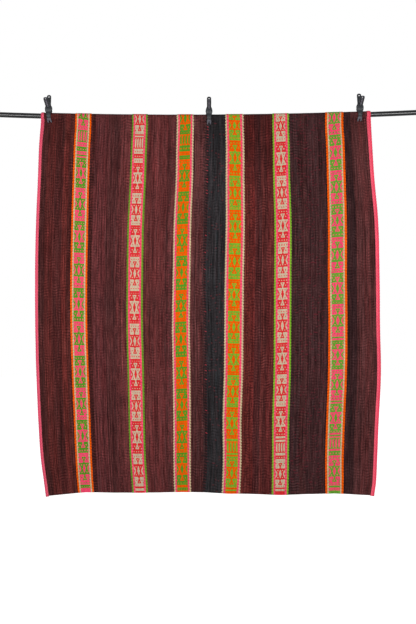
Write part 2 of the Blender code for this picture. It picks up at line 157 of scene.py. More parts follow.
FORK_TOP = -40.5 * MM
FORK_LENGTH = 30 * MM
EAR_RADIUS = 6 * MM
EAR_THICKNESS = 3 * MM
EAR_STEPS = 16
EAR_ROOT = 9.3 * MM  # how far from the pivot an ear is sunk into its lever
EAR_INNER_FACE = {"front": 11.2 * MM, "back": 7.9 * MM}
PIN_RADIUS = 2 * MM
PIN_HEAD_RADIUS = 3.4 * MM
PIN_HEAD_LENGTH = 1.2 * MM
# The head's outline, along and out, as shares of its length and radius
PIN_HEAD_ROWS = ((0.0, 1.0), (0.5, 1.0), (0.9, 0.75), (1.0, 0.3))
PIN_SIDES = 24
SPRING_RADIUS = 3.4 * MM
WIRE_RADIUS = 0.8 * MM
WIRE_SIDES = 10
SPRING_HALF_WIDTH = 5.5 * MM
SPRING_TURNS = 4.5
SPRING_STEPS = 20  # points to a turn
SPRING_KNEE = (5.2 * MM, 9.0 * MM)
SPRING_FOOT = (11.3 * MM, 19.3 * MM)

# The weft shows as ribs across the whole rug, which also set the pace of its edges, braids and stitches
RIB_PITCH = 12.2 * MM
RIB_RISE = 0.18 * MM
# How the ribs stray from level: share of a turn, and wavelengths across and along the cloth in mm
RIB_STRAYS = ((0.3, 340, 1100), (0.14, 90, -510), (0.16, 53, 240), (0.1, 33, -150))

# Ground of the two panels
GROUND_SKIN = 1.5 * MM  # how far its faces lie from the middle of the cloth
GROUND_SPACE = 9 * MM  # between its columns of points
GROUND_ROW = RIB_PITCH / 4  # between its rows of points
PANELS = {"left": ("left", "a", "b", "c", "seam"), "right": ("seam", "d", "e", "f", "right")}
EDGE_INSET = {"left": 4 * MM, "right": 3.5 * MM}  # from the solids' edge to the braid's
BINDING_WIDTH = {"left": 13.2 * MM, "right": 16.8 * MM}

# Stripes of the ground: how far each runs from the rug's left edge at mid height, in mm, its colour and how
# strongly the painted highlight and shade of the ribs show in it
STRIPES = {"left": (
    (41, (74, 38, 37), 0.55), (76, (88, 40, 38), 0.55), (113, (75, 36, 35), 0.65),
    (135, (97, 42, 39), 0.6), (228, (76, 36, 34), 0.8), (246, (76, 36, 35), 1.0),
    (281, (94, 47, 48), 0.5), (302, (90, 44, 45), 0.35), (350, (80, 42, 42), 0.25),
    (372, (87, 44, 44), 0.3), (471, (98, 49, 49), 0.6), (558, (96, 47, 47), 0.45),
    (575, (84, 44, 44), 0.4), (676, (92, 49, 49), 0.6), (724, (86, 48, 48), 0.7),
    (760, (74, 46, 46), 0.8),
), "right": (
    (822, (46, 43, 45), 0.5), (934, (100, 42, 39), 0.65), (948, (95, 39, 37), 0.65),
    (964, (80, 38, 38), 0.8), (978, (74, 38, 38), 0.8), (990, (92, 43, 41), 0.8),
    (1002, (80, 38, 37), 0.8), (1036, (92, 40, 39), 0.8), (1150, (64, 40, 41), 0.8),
    (1180, (70, 40, 40), 0.6), (1262, (65, 39, 40), 0.5), (1391, (57, 35, 36), 0.6),
    (1424, (84, 47, 47), 0.5), (1450, (90, 47, 47), 0.5), (1500, (86, 46, 46), 0.7),
)}

# Bands: stripe widths from the left in mm; the yarns of line, inner line and the two sides of the figured
# part; how far the teeth of the edges swing, in mm; and how far the rows rise to the right for each mm
# across, at the top of the front and at the hem, because the cloth sags a little between the clips
BANDS = {
    "a": ((8.6, 5.6, 44.8, 6.0, 8.2), ("orange", "cream", "green", "pink"), 0.4, (-0.11, -0.02)),
    "b": ((7.6, 7.6, 40.0, 7.8, 8.6), ("moss", "pink", "red", "bone"), 0.9, (0.0, 0.0)),
    "c": ((6.8, 7.2, 48.6, 7.2, 7.0), ("cream", "pink", "orange", "green"), 1.5, (0.08, 0.03)),
    "d": ((7.2, 8.2, 51.4, 8.2, 8.0), ("cream", "pink", "orange", "lime"), 1.7, (-0.04, 0.0)),
    "e": ((7.6, 8.0, 42.2, 9.2, 8.2), ("lime", "pink", "red", "bone"), 0.9, (0.05, 0.02)),
    "f": ((9.0, 6.4, 51.0, 6.0, 10.6), ("orange", "cream", "fern", "pink"), 0.4, (0.08, 0.045)),
}
STRIPE_ENDS = (3, 2, 20, 2, 3)  # ends of yarn in each stripe
TEETH_SWINGS = (-1.0, 0.5, -0.3)  # of the edges of line, inner line and figured part
TILT_FADE = 50 * MM  # near the cloth's ends the rows lie level again
PICK = 2.17 * MM  # height of one row of the charts
ROWS_A_RIB = RIB_PITCH / PICK
SLANT = 0.08  # of a turn, from one end of a band's lines to the next
YARN_STRAY = 0.25 * MM  # how unevenly the ends of a band lie
BAND_OUTER = 2.9 * MM  # how far the outer skin lies from the middle of the cloth
BAND_INNER = 1.75 * MM  # and the inner skin
FLOAT_RISE = 0.35 * MM  # how far the figure's floats stand above the rest
BEAD_RISE = 0.3 * MM  # how far the beads of the lines rise and fall
BAND_EDGE = 1.1 * MM  # where a band's edge dips into the ground

# The weaver's drafts: F a figure, B a bar with dots, L a plain line, V upright lines, each with its rows.
# The colour changes from one to the next. The bar sign parts what lies on the fold and behind from the
# front. Before each draft stand how far down the front begins, in mm, and the colour that it begins with.
DRAFTS = {
    "a": (41, 1, (
        "F49 B9 B9 F49 | B9 V24 B9 B9 B7 L3 L3 B9 F43 B8 B9 F47 B10 B8 F46 B9 B9 F51 B10 B8 F49 B10 B9 "
        "F51 B8 B9 F46 B9 B9 F46 B9 B8 F48 B10 B8 F47 B9 B6 B20")),
    "b": (62, 1, (
        "F48 B9 B9 F48 | B6 L3 L3 V23 B10 B9 B9 B8 F44 B8 B10 F46 B8 B8 F47 B8 B9 F48 B11 B8 F49 B8 B9 "
        "F51 B10 B8 F46 B9 B8 F46 B7 B8 F48 B9 B9 F50 B6 L4 L5 L20")),
    "c": (57, 1, (
        "F48 B9 B9 F48 | B8 V22 B12 B8 B8 B9 F47 B8 B9 F45 B11 B9 F46 B8 B9 F48 B11 B8 F47 B8 B10 "
        "F49 B11 B8 F47 B8 B9 F46 B9 B8 F48 B7 B9 F47 B8 L5 B6 L20")),
    "d": (-4, 0, (
        "F48 B9 B9 | F38 B11 B9 F51 B10 B10 F49 B9 B9 F48 B9 B11 F50 B11 B8 F46 B9 B9 F47 B9 B9 F46 B8 B10 "
        "F46 B8 B9 F46 B8 L5 V23 L4 L3 B10 F46 B6 L4 L3 L20")),
    "e": (2, 0, (
        "F48 B9 B9 | F39 B11 B8 F52 B8 B9 F48 B9 B9 F48 B9 B10 F52 B9 B9 F46 B7 B9 F49 B9 B8 F47 B8 B8 "
        "F45 B11 B9 F41 B9 L4 L3 L4 V22 L5 B7 B8 F44 B5 L3 L4 L20")),
    "f": (64, 1, (
        "F48 B9 B9 F48 | B10 B9 F53 B9 B9 F48 B10 B10 F45 B11 B9 F53 B9 B8 F46 B8 B9 F48 B8 L3 L4 B8 "
        "F42 B8 B9 F43 B10 L3 L3 B6 F45 B7 L4 L3 L3 V22 L4 B9 B10 F43 B7 L4 B6 L20")),
}
# Charts of the figured part, X for the element's own colour. A figure is a triangle point down, two
# hourglasses round a diamond, and a triangle point up.
TRIANGLE = (
    "XX....XXXXXXXX....XX",
    "XX....XXXXXXXX....XX",
    "......XXX..XXX......",
    ".......XX..XX.......",
    ".......XXXXXX.......",
    "...XX...XXXX...XX...",
    "...XX...XXXX...XX...",
    "........XXXX........",
    ".........XX.........",
    ".........XX.........",
    ".........XX.........",
    "........XXXX........",
)
HOURGLASSES = (
    "XXXXXXXXXXXXXXXXXXXX",
    "XXXXXXXXXXXXXXXXXXXX",
    "XXXXXXXXXXXXXXXXXXXX",
    ".XXX..XXX..XXX..XXX.",
    ".XXX..XXX..XXX..XXX.",
    "..XXXXXXX..XXXXXXX..",
    "..XXXXXX....XXXXXX..",
    "...XXXXX....XXXXX...",
    "...XXXXX....XXXXX...",
    "X...XXXX....XXXX...X",
    "X...XXX......XXX...X",
    "XX..XXX......XXX..XX",
)
PLAIN = "XXXXXXXXXXXXXXXXXXXX"
DOTTED = "XX..XXX..XXX..XXX..X"
BARS = "X...XX...XX...XX...X"
CHARTS = {
    "F": TRIANGLE + HOURGLASSES + HOURGLASSES[::-1] + TRIANGLE[::-1],
    "B": (PLAIN,) * 4 + (DOTTED,) * 2 + (PLAIN,) * 3,
    "V": (PLAIN,) * 2 + (DOTTED,) * 2 + (BARS,) * 16 + (DOTTED,) * 2 + (PLAIN,) * 2,
    "L": (PLAIN,),
}

# Colours as they look under this light, in sRGB
YARNS = {"orange": (240, 90, 4), "cream": (204, 182, 144), "bone": (206, 184, 156), "green": (88, 150, 38),
         "pink": (248, 76, 112), "red": (222, 48, 52), "moss": (104, 148, 42), "lime": (124, 174, 46),
         "fern": (104, 162, 52)}
# Of the braids' inner and outer lanes
BRAID_COLOURS = {"left": ((230, 92, 114), (223, 76, 105)), "right": ((249, 96, 117), (243, 73, 100))}
STITCH_YARNS = {"stitch_black": (38, 32, 35), "stitch_dark": (88, 41, 44), "stitch_red": (196, 62, 74)}
# Darker and greyer plastic of the clips, whose greys are partly painted reflection, and paler plastic that
# hands and cloth have rubbed, which is also a painted highlight
PLASTICS = {"black_plastic": ((36, 39, 42), (62, 66, 71)), "rubbed_highlit_plastic": ((92, 90, 98), (120, 118, 128))}
ROD_BLACK = (13, 15, 17)
LIGHT_LEVEL = 1.3  # how much brighter than its own colour a white face would look
# Linear colours, and grain: clouds of noise to a metre
STEEL_COLOUR = (0.62, 0.62, 0.63)
FLOOR_COLOUR = (0.5, 0.5, 0.5)
ROD_STREAKS = (4.0, 200.0, 200.0)
YARN_FIBRE = 900
PLASTIC_PEBBLES = 1400
PLASTIC_WEAR_AND_REFLECTION = 60
STEEL_GRAIN = 700
FLOOR_CLOUDS = 0.8
FINE_DETAIL = 3.0  # layers of the finer noise
# Gloss and roughness. Of two values the grain goes from one to the other.
WOOL = {"Roughness": 0.95, "Specular_IOR_Level": 0.03}
ROD_GLOSS = 0.75
ROD_ROUGHNESS = (0.16, 0.2)
PLASTIC_GLOSS = 0.35
PLASTIC_ROUGHNESS = (0.4, 0.6)
STEEL_ROUGHNESS = (0.22, 0.42)
# Bumps: how high they are and how strongly they show
BUMPS = {"yarn": (0.5 * MM, 0.8), "braid": (0.4 * MM, 0.7), "stitch": (0.2 * MM, 0.6),
         "plastic": (0.08 * MM, 0.5)}
# How dark and bright the grain makes each colour
FIBRE_TONES = (0.75, 1.25)  # of the braids
LENGTH_TONES = (0.85, 1.15)  # along the braids
# painted shade between the braid's strands and painted highlight on them
STRAND_SHADE_TONES = (0.78, 1.08)
STITCH_TONES = (0.7, 1.3)
ROD_TONES = (0.7, 1.3)
STEEL_TONES = (0.75, 1.1)
FLOOR_TONES = (0.96, 1.0)
GREYER_SHARE = 0.8  # at most so much of the plastic's greyer colour

# Single yarns, which show from close by, and how dark and bright chance and height make their beads, height
# as painted shade and highlight
YARN_SPACE = 1.9 * MM
BEAD_SPACE = RIB_PITCH / 3
ROWS_A_BEAD = 3.0  # in the bands
YARN_ROUNDING = 0.6  # the power that makes a yarn's arch flatter
BEAD_HEIGHTS = (0.6, 1.0)  # between a yarn's beads and at their tops
# painted shade in the yarns' hollows and painted highlight on their crests
CREST_SHADE_TONES = (0.72, 1.1)
LONE_TONES = (0.86, 1.14)
BEAD_TONES = (0.84, 1.12)  # in the bands
SLOW_PATCH = (2.5, 33.0)  # ends and rows of the slower changes in the bands
SLOW_TONES = (0.8, 1.2)
# Patches of the ground: width and height in mm, and how dark and bright they make it
GROUND_PATCHES = ((5, 380, -0.05, 2.05), (26, 500, 0.6, 1.4), (5.5, 5.5, 0.5, 1.5), (4.5, 60, 0.1, 1.9))
RED_PATCH = (5 * MM, 150 * MM)  # where the brown is more or less red, and how much
RED_TONES = (0.55, 1.45)
STRIPE_PATCH = (4 * MM, 170 * MM)
STRIPE_STRAY = 2 * MM  # how far the stripes' edges stray
FADE_PATCH = (20 * MM, 60 * MM)  # where the ribs' painted highlight and shade show more or less, or not at all where below zero
FADE_RANGE = (-3.0, 5.0)
RIB_SHADE_TONE = 0.24  # painted highlight: how much brighter a rib is than the mean, and painted shade: how much darker a groove
BEAD_SHADE_TONE = 0.15  # the same painted highlight and shade for the beads of the bands' lines
FLECK_WIDTH = 6 * MM
FLECK_HEIGHT = 0.4  # as a share of a rib
FLECK_COVER = 0.75
# Small woven dots in the ground: from and to across the rug in mm, colour and how many
FLECKS = {
    "left": ((232, 246, (40, 24, 22), 0.8), (350, 395, (112, 54, 54), 0.2), (570, 640, (118, 50, 56), 0.2),
             (716, 739, (40, 34, 36), 0.4)),
    "right": ((740, 820, (92, 42, 46), 0.08), (911, 948, (60, 26, 26), 0.45),
              (1116, 1262, (96, 36, 44), 0.14)),
}
# Darker lengths of the ground: from and to across the rug, where along it the shade begins and is full, in
# mm, and how dark it is
SHADES = {"left": ((676, 745, 950, 1250, 0.24),),
          "right": ((745, 870, 330, 120, 0.14), (875, 1040, 330, 120, 0.34))}

# Bound edges
BINDING_THICKNESS = 6 * MM
BINDING_TUCK = 1.1 * MM  # how far a panel's edge reaches into its braid
BINDING_OVERHANG = 2.5 * MM
BRAID_SIDES = 28
BRAID_ROW = 1.6 * MM
BRAID_LENGTHS = 4  # it is cut into so many for a baked picture
BRAID_ROUNDING = (0.8, 0.7)  # powers that make its section flatter than an ellipse
BRAID_RISE = 0.6 * MM  # how far its strands rise and fall
BRAID_SWING = 0.6 * MM  # how far its edges swing with them
LANE_TURN = 0.45  # how far, in turns, the strands of the inner lane are ahead
STRAND_TURN = 0.7  # and how far any strand is ahead at the braid's sides
STRAND_MEAN = 0.6  # of a strand's arch, which is 1 high
LANE_GROOVE_WIDTH = 0.16  # of the groove between the lanes, as a share of a lane
LANE_GROOVE_DEPTH = 0.7  # and as a share of BRAID_RISE
FIBRE_PATCH = (5 * MM, 1.6 * MM)
LENGTH_PATCH = (1.0, 60 * MM)  # the braid's width is 1

# Seam: stitches that bulge from one panel over the other, one to a rib
STITCH_SHARES = (-1.0, -0.6, 0.0, 0.6, 1.0)
STITCH_LIFTS = (-0.8, 0.7, 1.0, 0.7, -0.8)
STITCH_SLANT = RIB_PITCH * 0.12
STITCH_SIDES = 8
STITCH_CLEAR = 14 * MM  # no stitches this close to the jaws
STITCH_SEED = 7
STITCH_STRAY = 1 * MM  # how far up or down from its place a stitch may lie
STITCH_STRETCH = (0.8, 1.2)  # how short and how long it may be
STITCHES = {
    "red": {"radius": 1.3 * MM, "reach": 3.0 * MM, "shift": 2.4 * MM, "turn": 0.0},
    "black": {"radius": 1.9 * MM, "reach": 4.4 * MM, "shift": -1.2 * MM, "turn": 0.5},
}

# Share of the red stitches that are bright, near the top of the front and elsewhere
BRIGHT_SHARE = {"top": 0.55, "rest": 0.06}
BRIGHT_END = 350 * MM

# How each piece's faces are laid out for a baked picture: margin round each length, and width of the rims
BAKE_MARGIN = 0.04
BAKE_RIM = 0.02
BAKE_DISC = 0.9  # how much of the margin the braids' end faces fill

# Camera and stage, in metres
CAMERA_PLACE = (0.0, -3.2, -0.842)
CAMERA_ANGLE = math.radians(45.86)  # along the picture's long side
SENSOR_WIDTH = 36.0
FLOOR_HEIGHT = -2.3
FLOOR_RADIUS = 14.0
FLOOR_SIDES = 96
FLOOR_GLOW = 0.95
AMBIENT = 0.39  # how bright the white surroundings are as light
# Soft lights: place, target, size across and up, and power in watts
LIGHTS = {
    "key": ((-0.3, -2.1, -0.55), (0.0, 0.0, -0.6), (4.2, 0.5), 67),
    "fill": ((2.1, -3.0, -0.9), (0.7, 0.0, -0.8), (1.2, 1.0), 16),
    "back": ((0.0, 2.6, -0.5), (0.0, 0.0, -0.7), (2.3, 0.7), 60),
}


def ease(t):
    """0 to 1, level at both ends."""
    return 0.5 - 0.5 * np.cos(np.pi * np.clip(t, 0.0, 1.0))


def smooth(t, low, high, low_slope, high_slope):
    """A smooth curve between two values with their slopes, as t goes from 0 to 1."""
    return ((2 * t ** 3 - 3 * t ** 2 + 1) * low + (t ** 3 - 2 * t ** 2 + t) * low_slope
            + (3 * t ** 2 - 2 * t ** 3) * high + (t ** 3 - t ** 2) * high_slope)


def rod_height(x):
    """Height of the rod's axis above its middle."""
    along = x / ROD_HALF_LENGTH
    return ROD_SAG * along ** 2 + ROD_RISE * along


def lay(place, drop):
    """X of a place of the cloth at distances along it, as a smooth curve through the table."""
    drops, values = LAY["drop"], LAY[place]
    last = len(drops) - 1
    before, after = np.maximum(np.arange(last + 1) - 1, 0), np.minimum(np.arange(last + 1) + 1, last)
    slopes = (values[after] - values[before]) / (drops[after] - drops[before])
    drop = np.clip(drop, drops[0], drops[-1])
    k = np.clip(np.searchsorted(drops, drop, side="right"), 1, last)
    span = drops[k] - drops[k - 1]
    t = (drop - drops[k - 1]) / span
    return smooth(t, values[k - 1], values[k], span * slopes[k - 1], span * slopes[k])


def spread(drop):
    """How wide the cloth lies at a distance along it, as a share of its width at mid height."""
    return (lay("right", drop) - lay("left", drop)) / (lay("right", MID_DROP) - lay("left", MID_DROP))


def hem_height(x):
    """Height of the hem, by straight lines between the places of the cloth."""
    places = LAY_COLUMNS[1:]
    return -MM * np.interp(x, [LAY[place][-1] for place in places], [HEM_DROP[place] for place in places])


def dent(x):
    """1 where a jaw presses the cloth, fading to 0 on each side."""
    reach = np.min([np.abs(x - place) for place in CLIP_PLACES.values()], axis=0)
    return 1 - ease((reach - DENT_HALF_WIDTH) / DENT_FADE)


def wave(x, drop):
    """Forward and back swing of the hanging front, growing towards the hem, with a little unevenness."""
    grown = ease((drop - WAVE_START) / (FRONT_LENGTH - WAVE_START))
    swing = sum(height * MM * np.cos(math.tau * (x / MM - crest) / length)
                for length, crest, height in WAVES)
    ripple = sum(height * MM * np.sin(math.tau * (x / MM / across + drop / MM / down) + turn)
                 for across, down, turn, height in RIPPLES)
    return grown * swing + ease((drop - WAVE_START) / WAVE_START) * ripple


def cloth_middle(x, drop):
    """Y and Z of the middle of the cloth, for arrays of places across it and distances along it."""
    radius = ROD_RADIUS + ROD_GAP + GROUND_THICKNESS / 2
    half_stack = (GROUND_THICKNESS + GAP) / 2
    pressed, high = dent(x), rod_height(x)

    depth = -drop - FOLD_ARC
    patch = np.maximum(np.maximum(PINCH_TOP - depth, depth - PINCH_BOTTOM), 0.0)
    inward = max(radius - PINCH_Y - half_stack, 0.0) * (1 - ease(patch / FLAP_DENT_FADE))
    flap = radius - inward * pressed, high - depth

    angle = math.pi * (1 + drop / FOLD_ARC)
    fold = radius * np.cos(angle), high + radius * np.sin(angle)

    front_y = -radius + (radius + PINCH_Y - half_stack) * pressed
    share = np.clip(drop / PINCH_TOP, 0.0, 1.0)
    whole = math.pi + np.arctan2(-PINCH_TOP, front_y)
    slack = radius + UNDER_SLACK * pressed
    leave = whole - np.arccos(np.minimum(slack / np.hypot(front_y, PINCH_TOP), 1.0))
    turn = share * whole
    reach = slack / np.cos(np.maximum(turn - leave, 0.0))
    under = -reach * np.cos(turn), high - reach * np.sin(turn)

    back = ease((drop - PINCH_BOTTOM) / (WAVE_START - PINCH_BOTTOM))
    share = drop / FRONT_LENGTH
    front = (front_y * (1 - back) - radius * back + wave(x, drop),
             high * (1 - share) + hem_height(x) * share)

    places = [drop < -FOLD_ARC, drop < 0.0, drop < PINCH_TOP]
    return tuple(np.select(places, [flap[k], fold[k], under[k]], front[k]) for k in (0, 1))


def cloth_skin(x, drop, lift):
    """Points that stand off the middle of the cloth by lift, outwards, for arrays of rows by columns."""
    drop = np.broadcast_to(drop, x.shape)
    y, z = cloth_middle(x, drop)
    down_y, down_z = np.gradient(y, axis=0), np.gradient(z, axis=0)
    size = np.hypot(down_y, down_z)
    return np.stack([x, y + lift * down_z / size, z - lift * down_y / size], axis=-1)


def linked(name, mesh):
    obj = bpy.data.objects.new(name, mesh)
    bpy.context.collection.objects.link(obj)
    return obj


def placed(obj, mats, *nodes, slot):
    """Give a piece its materials, attach it to the root body and hide the parts that it stands for. Its slot
    is not used.
    """
    for mat in mats:
        obj.data.materials.append(mat)
    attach(obj, "root")
    if nodes:
        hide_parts(*nodes)
    return obj


def add_map(mesh, name, values):
    """A UV map from an array of one pair for each corner of the faces."""
    layer = mesh.uv_layers.new(name=name)
    layer.data.foreach_set("uv", np.asarray(values, dtype=np.float32).ravel())


def stray(across, along):
    """How far the ribs stray from level at places of the cloth, in turns."""
    return sum(turn * np.sin(math.tau * (across / MM / wide + along / MM / tall))
               for turn, wide, tall in RIB_STRAYS)


def corner_vertices(mesh):
    """The vertex of each corner of the faces."""
    corners = np.empty(len(mesh.loops), dtype=np.int32)
    mesh.loops.foreach_get("vertex_index", corners)
    return corners


def closed_sheet(name, front, back, step, weave, looks, lengths, front_share):
    """A closed sheet of cloth from a front and a coarser back skin, each rows by columns of points.

    The back has every step-th row and column of the front. The weave holds the front's UV places, and looks
    the material slots of the front's and the back's faces. For a baked picture the sheet is cut across into
    so many lengths, which lie side by side in the unit square: first the front's, in a share of its width,
    and then the back's.
    """
    down, across = step
    rows, columns = front.shape[:2]
    f = np.arange(rows * columns).reshape(rows, columns)
    b = f.size + np.arange(back.shape[0] * back.shape[1]).reshape(back.shape[:2])
    front_quads = np.stack([f[:-1, :-1], f[1:, :-1], f[1:, 1:], f[:-1, 1:]], axis=-1).reshape(-1, 4)
    back_quads = np.stack([b[:-1, :-1], b[:-1, 1:], b[1:, 1:], b[1:, :-1]], axis=-1).reshape(-1, 4)
    rims, ways = [], []
    edges = ((f[:, 0], b[:, 0], down, 1, (0, -1)), (f[:, -1], b[:, -1], down, -1, (0, 1)),
             (f[0], b[0], across, -1, (-1, 0)), (f[-1], b[-1], across, 1, (1, 0)))
    for fine, coarse, stride, turn, way in edges:
        for k in range(len(coarse) - 1):
            run = fine[k * stride:(k + 1) * stride + 1]
            rims.append(np.concatenate([coarse[k:k + 2][::turn], run[::-turn]]).tolist())
            ways += [way] * len(rims[-1])

    mesh = bpy.data.meshes.new(name)
    points = np.concatenate([front.reshape(-1, 3), back.reshape(-1, 3)])
    mesh.from_pydata(points.tolist(), [], front_quads.tolist() + back_quads.tolist() + rims)
    slots = np.concatenate([looks[0].ravel(), looks[1].ravel(), np.zeros(len(rims), dtype=int)])
    mesh.polygons.foreach_set("material_index", slots.astype(np.int32))
    corners = corner_vertices(mesh)
    add_map(mesh, "Weave", both_skins(weave, step)[corners])

    places = both_skins(np.moveaxis(np.indices((rows, columns), dtype=float), 0, -1), step)[corners]
    sizes = [4] * (len(front_quads) + len(back_quads)) + [len(rim) for rim in rims]
    face_rows = np.minimum.reduceat(places[:, 0], np.cumsum([0] + sizes[:-1]))
    per_length = 2 * math.ceil((rows - 1) / (2 * lengths))
    lane = np.repeat(np.minimum(face_rows, rows - 2), sizes) // per_length
    ways = np.concatenate([np.zeros((len(corners) - len(ways), 2)), ways])
    ways[corners < f.size] = 0.0
    shares = np.stack([places[:, 0] / per_length - lane, places[:, 1] / (columns - 1)], axis=-1)
    shares = BAKE_MARGIN + (1 - 2 * BAKE_MARGIN) * (shares + BAKE_RIM * ways)
    behind = np.zeros(len(corners), dtype=bool)
    behind[front_quads.size:front_quads.size + back_quads.size] = True
    wide = np.where(behind, 1 - front_share, front_share) / lengths
    start = np.where(behind, front_share, 0.0)
    add_map(mesh, "OFBake", np.stack([start + (lane + shares[:, 1]) * wide, shares[:, 0]], axis=-1))
    mesh.uv_layers["Weave"].active_render = True
    mesh.shade_smooth()
    mesh.set_sharp_from_angle(angle=CREASE["sheet"])
    return linked(name, mesh)


def both_skins(grid, step):
    """Values of the front's points, followed by those of the coarser back's."""
    return np.concatenate([grid.reshape(-1, 2), grid[::step[0], ::step[1]].reshape(-1, 2)])


def pairs(across, along):
    """A grid of pairs, from a row of places across and a column of places along."""
    return np.stack(np.broadcast_arrays(across, along), axis=-1)


def ground(side, mat):
    """The plain-woven cloth of one panel, whole from its bound edge to the seam and under the bands."""
    inset = {"left": bound("left"), "right": -bound("right")}

    def edge(place, drop):
        return lay(place, drop) + inset.get(place, 0.0)

    count = math.ceil((FRONT_LENGTH - CLOTH_END) / GROUND_ROW / 2) * 2
    drops = np.linspace(CLOTH_END, FRONT_LENGTH, count + 1)[:, None]
    columns, across = [], []
    for a, b in zip(PANELS[side], PANELS[side][1:]):
        low, high = edge(a, drops), edge(b, drops)
        flat_low, flat_high = edge(a, MID_DROP), edge(b, MID_DROP)
        steps = 2 * max(1, round((flat_high - flat_low) / GROUND_SPACE / 2))
        for k in range(steps):
            columns.append(low + (high - low) * k / steps)
            across.append(flat_low + (flat_high - flat_low) * k / steps)
    x = np.hstack(columns + [high])
    across = np.array(across + [flat_high]) - lay("left", MID_DROP)
    ribs = np.cos(math.tau * (drops / RIB_PITCH + stray(across, drops)))
    front = cloth_skin(x, drops, GROUND_SKIN + RIB_RISE * (ribs - 1) / 2)
    back = cloth_skin(x, drops, -GROUND_SKIN)
    looks = np.zeros((x.shape[0] - 1, x.shape[1] - 1), dtype=int)
    obj = closed_sheet(f"ground_{side}", front, back[::2, ::2], (2, 2), pairs(across, drops),
                       (looks, looks[::2, ::2]), lengths=1, front_share=0.7)
    return placed(obj, [mat], f"panel_{side}", slot=f"wool_{side}")


def bound(side):
    """How far a panel's cloth lies in from the rug's edge, under its binding."""
    return EDGE_INSET[side] + BINDING_WIDTH[side] - BINDING_TUCK


def drafted(draft, first):
    """The figured part's colours, 0 or 1, for each row and end, and how many rows lie before the front."""
    behind, front = (part.split() for part in draft.split("|"))
    colour = (first + len(behind)) % 2
    rows = []
    for element in behind + front:
        chart, height = CHARTS[element[0]], int(element[1:])
        for k in range(height):
            line = chart[int((k + 0.5) / height * len(chart))]
            rows.append([colour if mark == "X" else 1 - colour for mark in line])
        colour = 1 - colour
    return np.array(rows), sum(int(element[1:]) for element in behind)


def softened(values):
    """Values of faces, moved to the points between them."""
    padded = np.pad(values.astype(float), 1, mode="edge")
    return (padded[:-1, :-1] + padded[1:, :-1] + padded[:-1, 1:] + padded[1:, 1:]) / 4


def band(which, mats):
    """One patterned band, woven double: a closed strip that holds the ground between its two skins."""
    widths, yarns, teeth, tilts = BANDS[which]
    place, colour, draft = DRAFTS[which]
    colours, before = drafted(draft, colour)
    centre = lay(which, MID_DROP)
    pick = PICK * FRONT_LENGTH / (rod_height(centre) - hem_height(centre))
    start = place * MM - before * pick
    first = math.ceil((CLOTH_END - start) / pick)
    last = math.floor((FRONT_LENGTH - start) / pick)
    if (last - first) % 2:
        first += 1
    rows = np.arange(first, last + 1)[:, None]
    drops = start + rows * pick
    drops[0], drops[-1] = CLOTH_END, FRONT_LENGTH

    widths = np.array(widths) * MM
    lows = np.cumsum(widths) - widths
    edges = np.concatenate([[0.0]] + [low + width * np.arange(1, ends + 1) / ends
                                      for low, width, ends in zip(lows, widths, STRIPE_ENDS)])
    edges -= widths.sum() / 2
    outer, inner, figured = STRIPE_ENDS[:3]
    ends = len(edges) - 1
    from_edge = np.minimum(np.arange(ends + 1), ends - np.arange(ends + 1))
    beads = np.cos(math.tau * (rows / ROWS_A_RIB + SLANT * from_edge))
    swing = np.zeros(ends + 1)
    swing[[0, outer, outer + inner]] = TEETH_SWINGS
    swing -= swing[::-1]
    uneven = np.random.default_rng(ord(which)).uniform(-YARN_STRAY, YARN_STRAY, beads.shape)
    uneven[:, [0, -1]] = 0.0
    x = lay(which, drops) + spread(drops) * edges + teeth * MM * swing * beads + uneven

    rise = np.interp(drops, (0.0, FRONT_LENGTH), tilts)
    rise *= np.clip(np.minimum(drops - CLOTH_END, FRONT_LENGTH - drops) / TILT_FADE, 0.0, 1.0)
    tilted = drops - rise * edges

    looks = np.zeros((len(drops) - 1, ends), dtype=int)
    looks[:, outer:outer + inner] = 1
    looks[:, -outer - inner:-outer] = 1
    side = slice(outer + inner, outer + inner + figured)
    looks[:, side] = 2 + colours[first:last]
    lift = BAND_OUTER + FLOAT_RISE * (softened(looks != 3) - 0.5)
    in_line = (from_edge > 0) & (from_edge < outer + inner)
    lift[:, in_line] += BEAD_RISE * (beads[:, in_line] - 1) / 2
    lift[:, 0] = lift[:, -1] = BAND_EDGE
    front = cloth_skin(x, tilted, lift)
    depth = np.full(ends + 1, BAND_INNER)
    depth[[0, -1]] = BAND_EDGE
    back = cloth_skin(x, tilted, -depth)

    wrong = looks.copy()
    wrong[:, side] = 5 - looks[:, side]
    obj = closed_sheet(f"band_{which}", front, back[::2], (2, 1), pairs(np.arange(ends + 1), rows),
                       (looks, wrong[::2]), lengths=3, front_share=0.5)
    return placed(obj, [mats[name] for name in yarns], slot="wool_left" if which in "abc" else "wool_right")


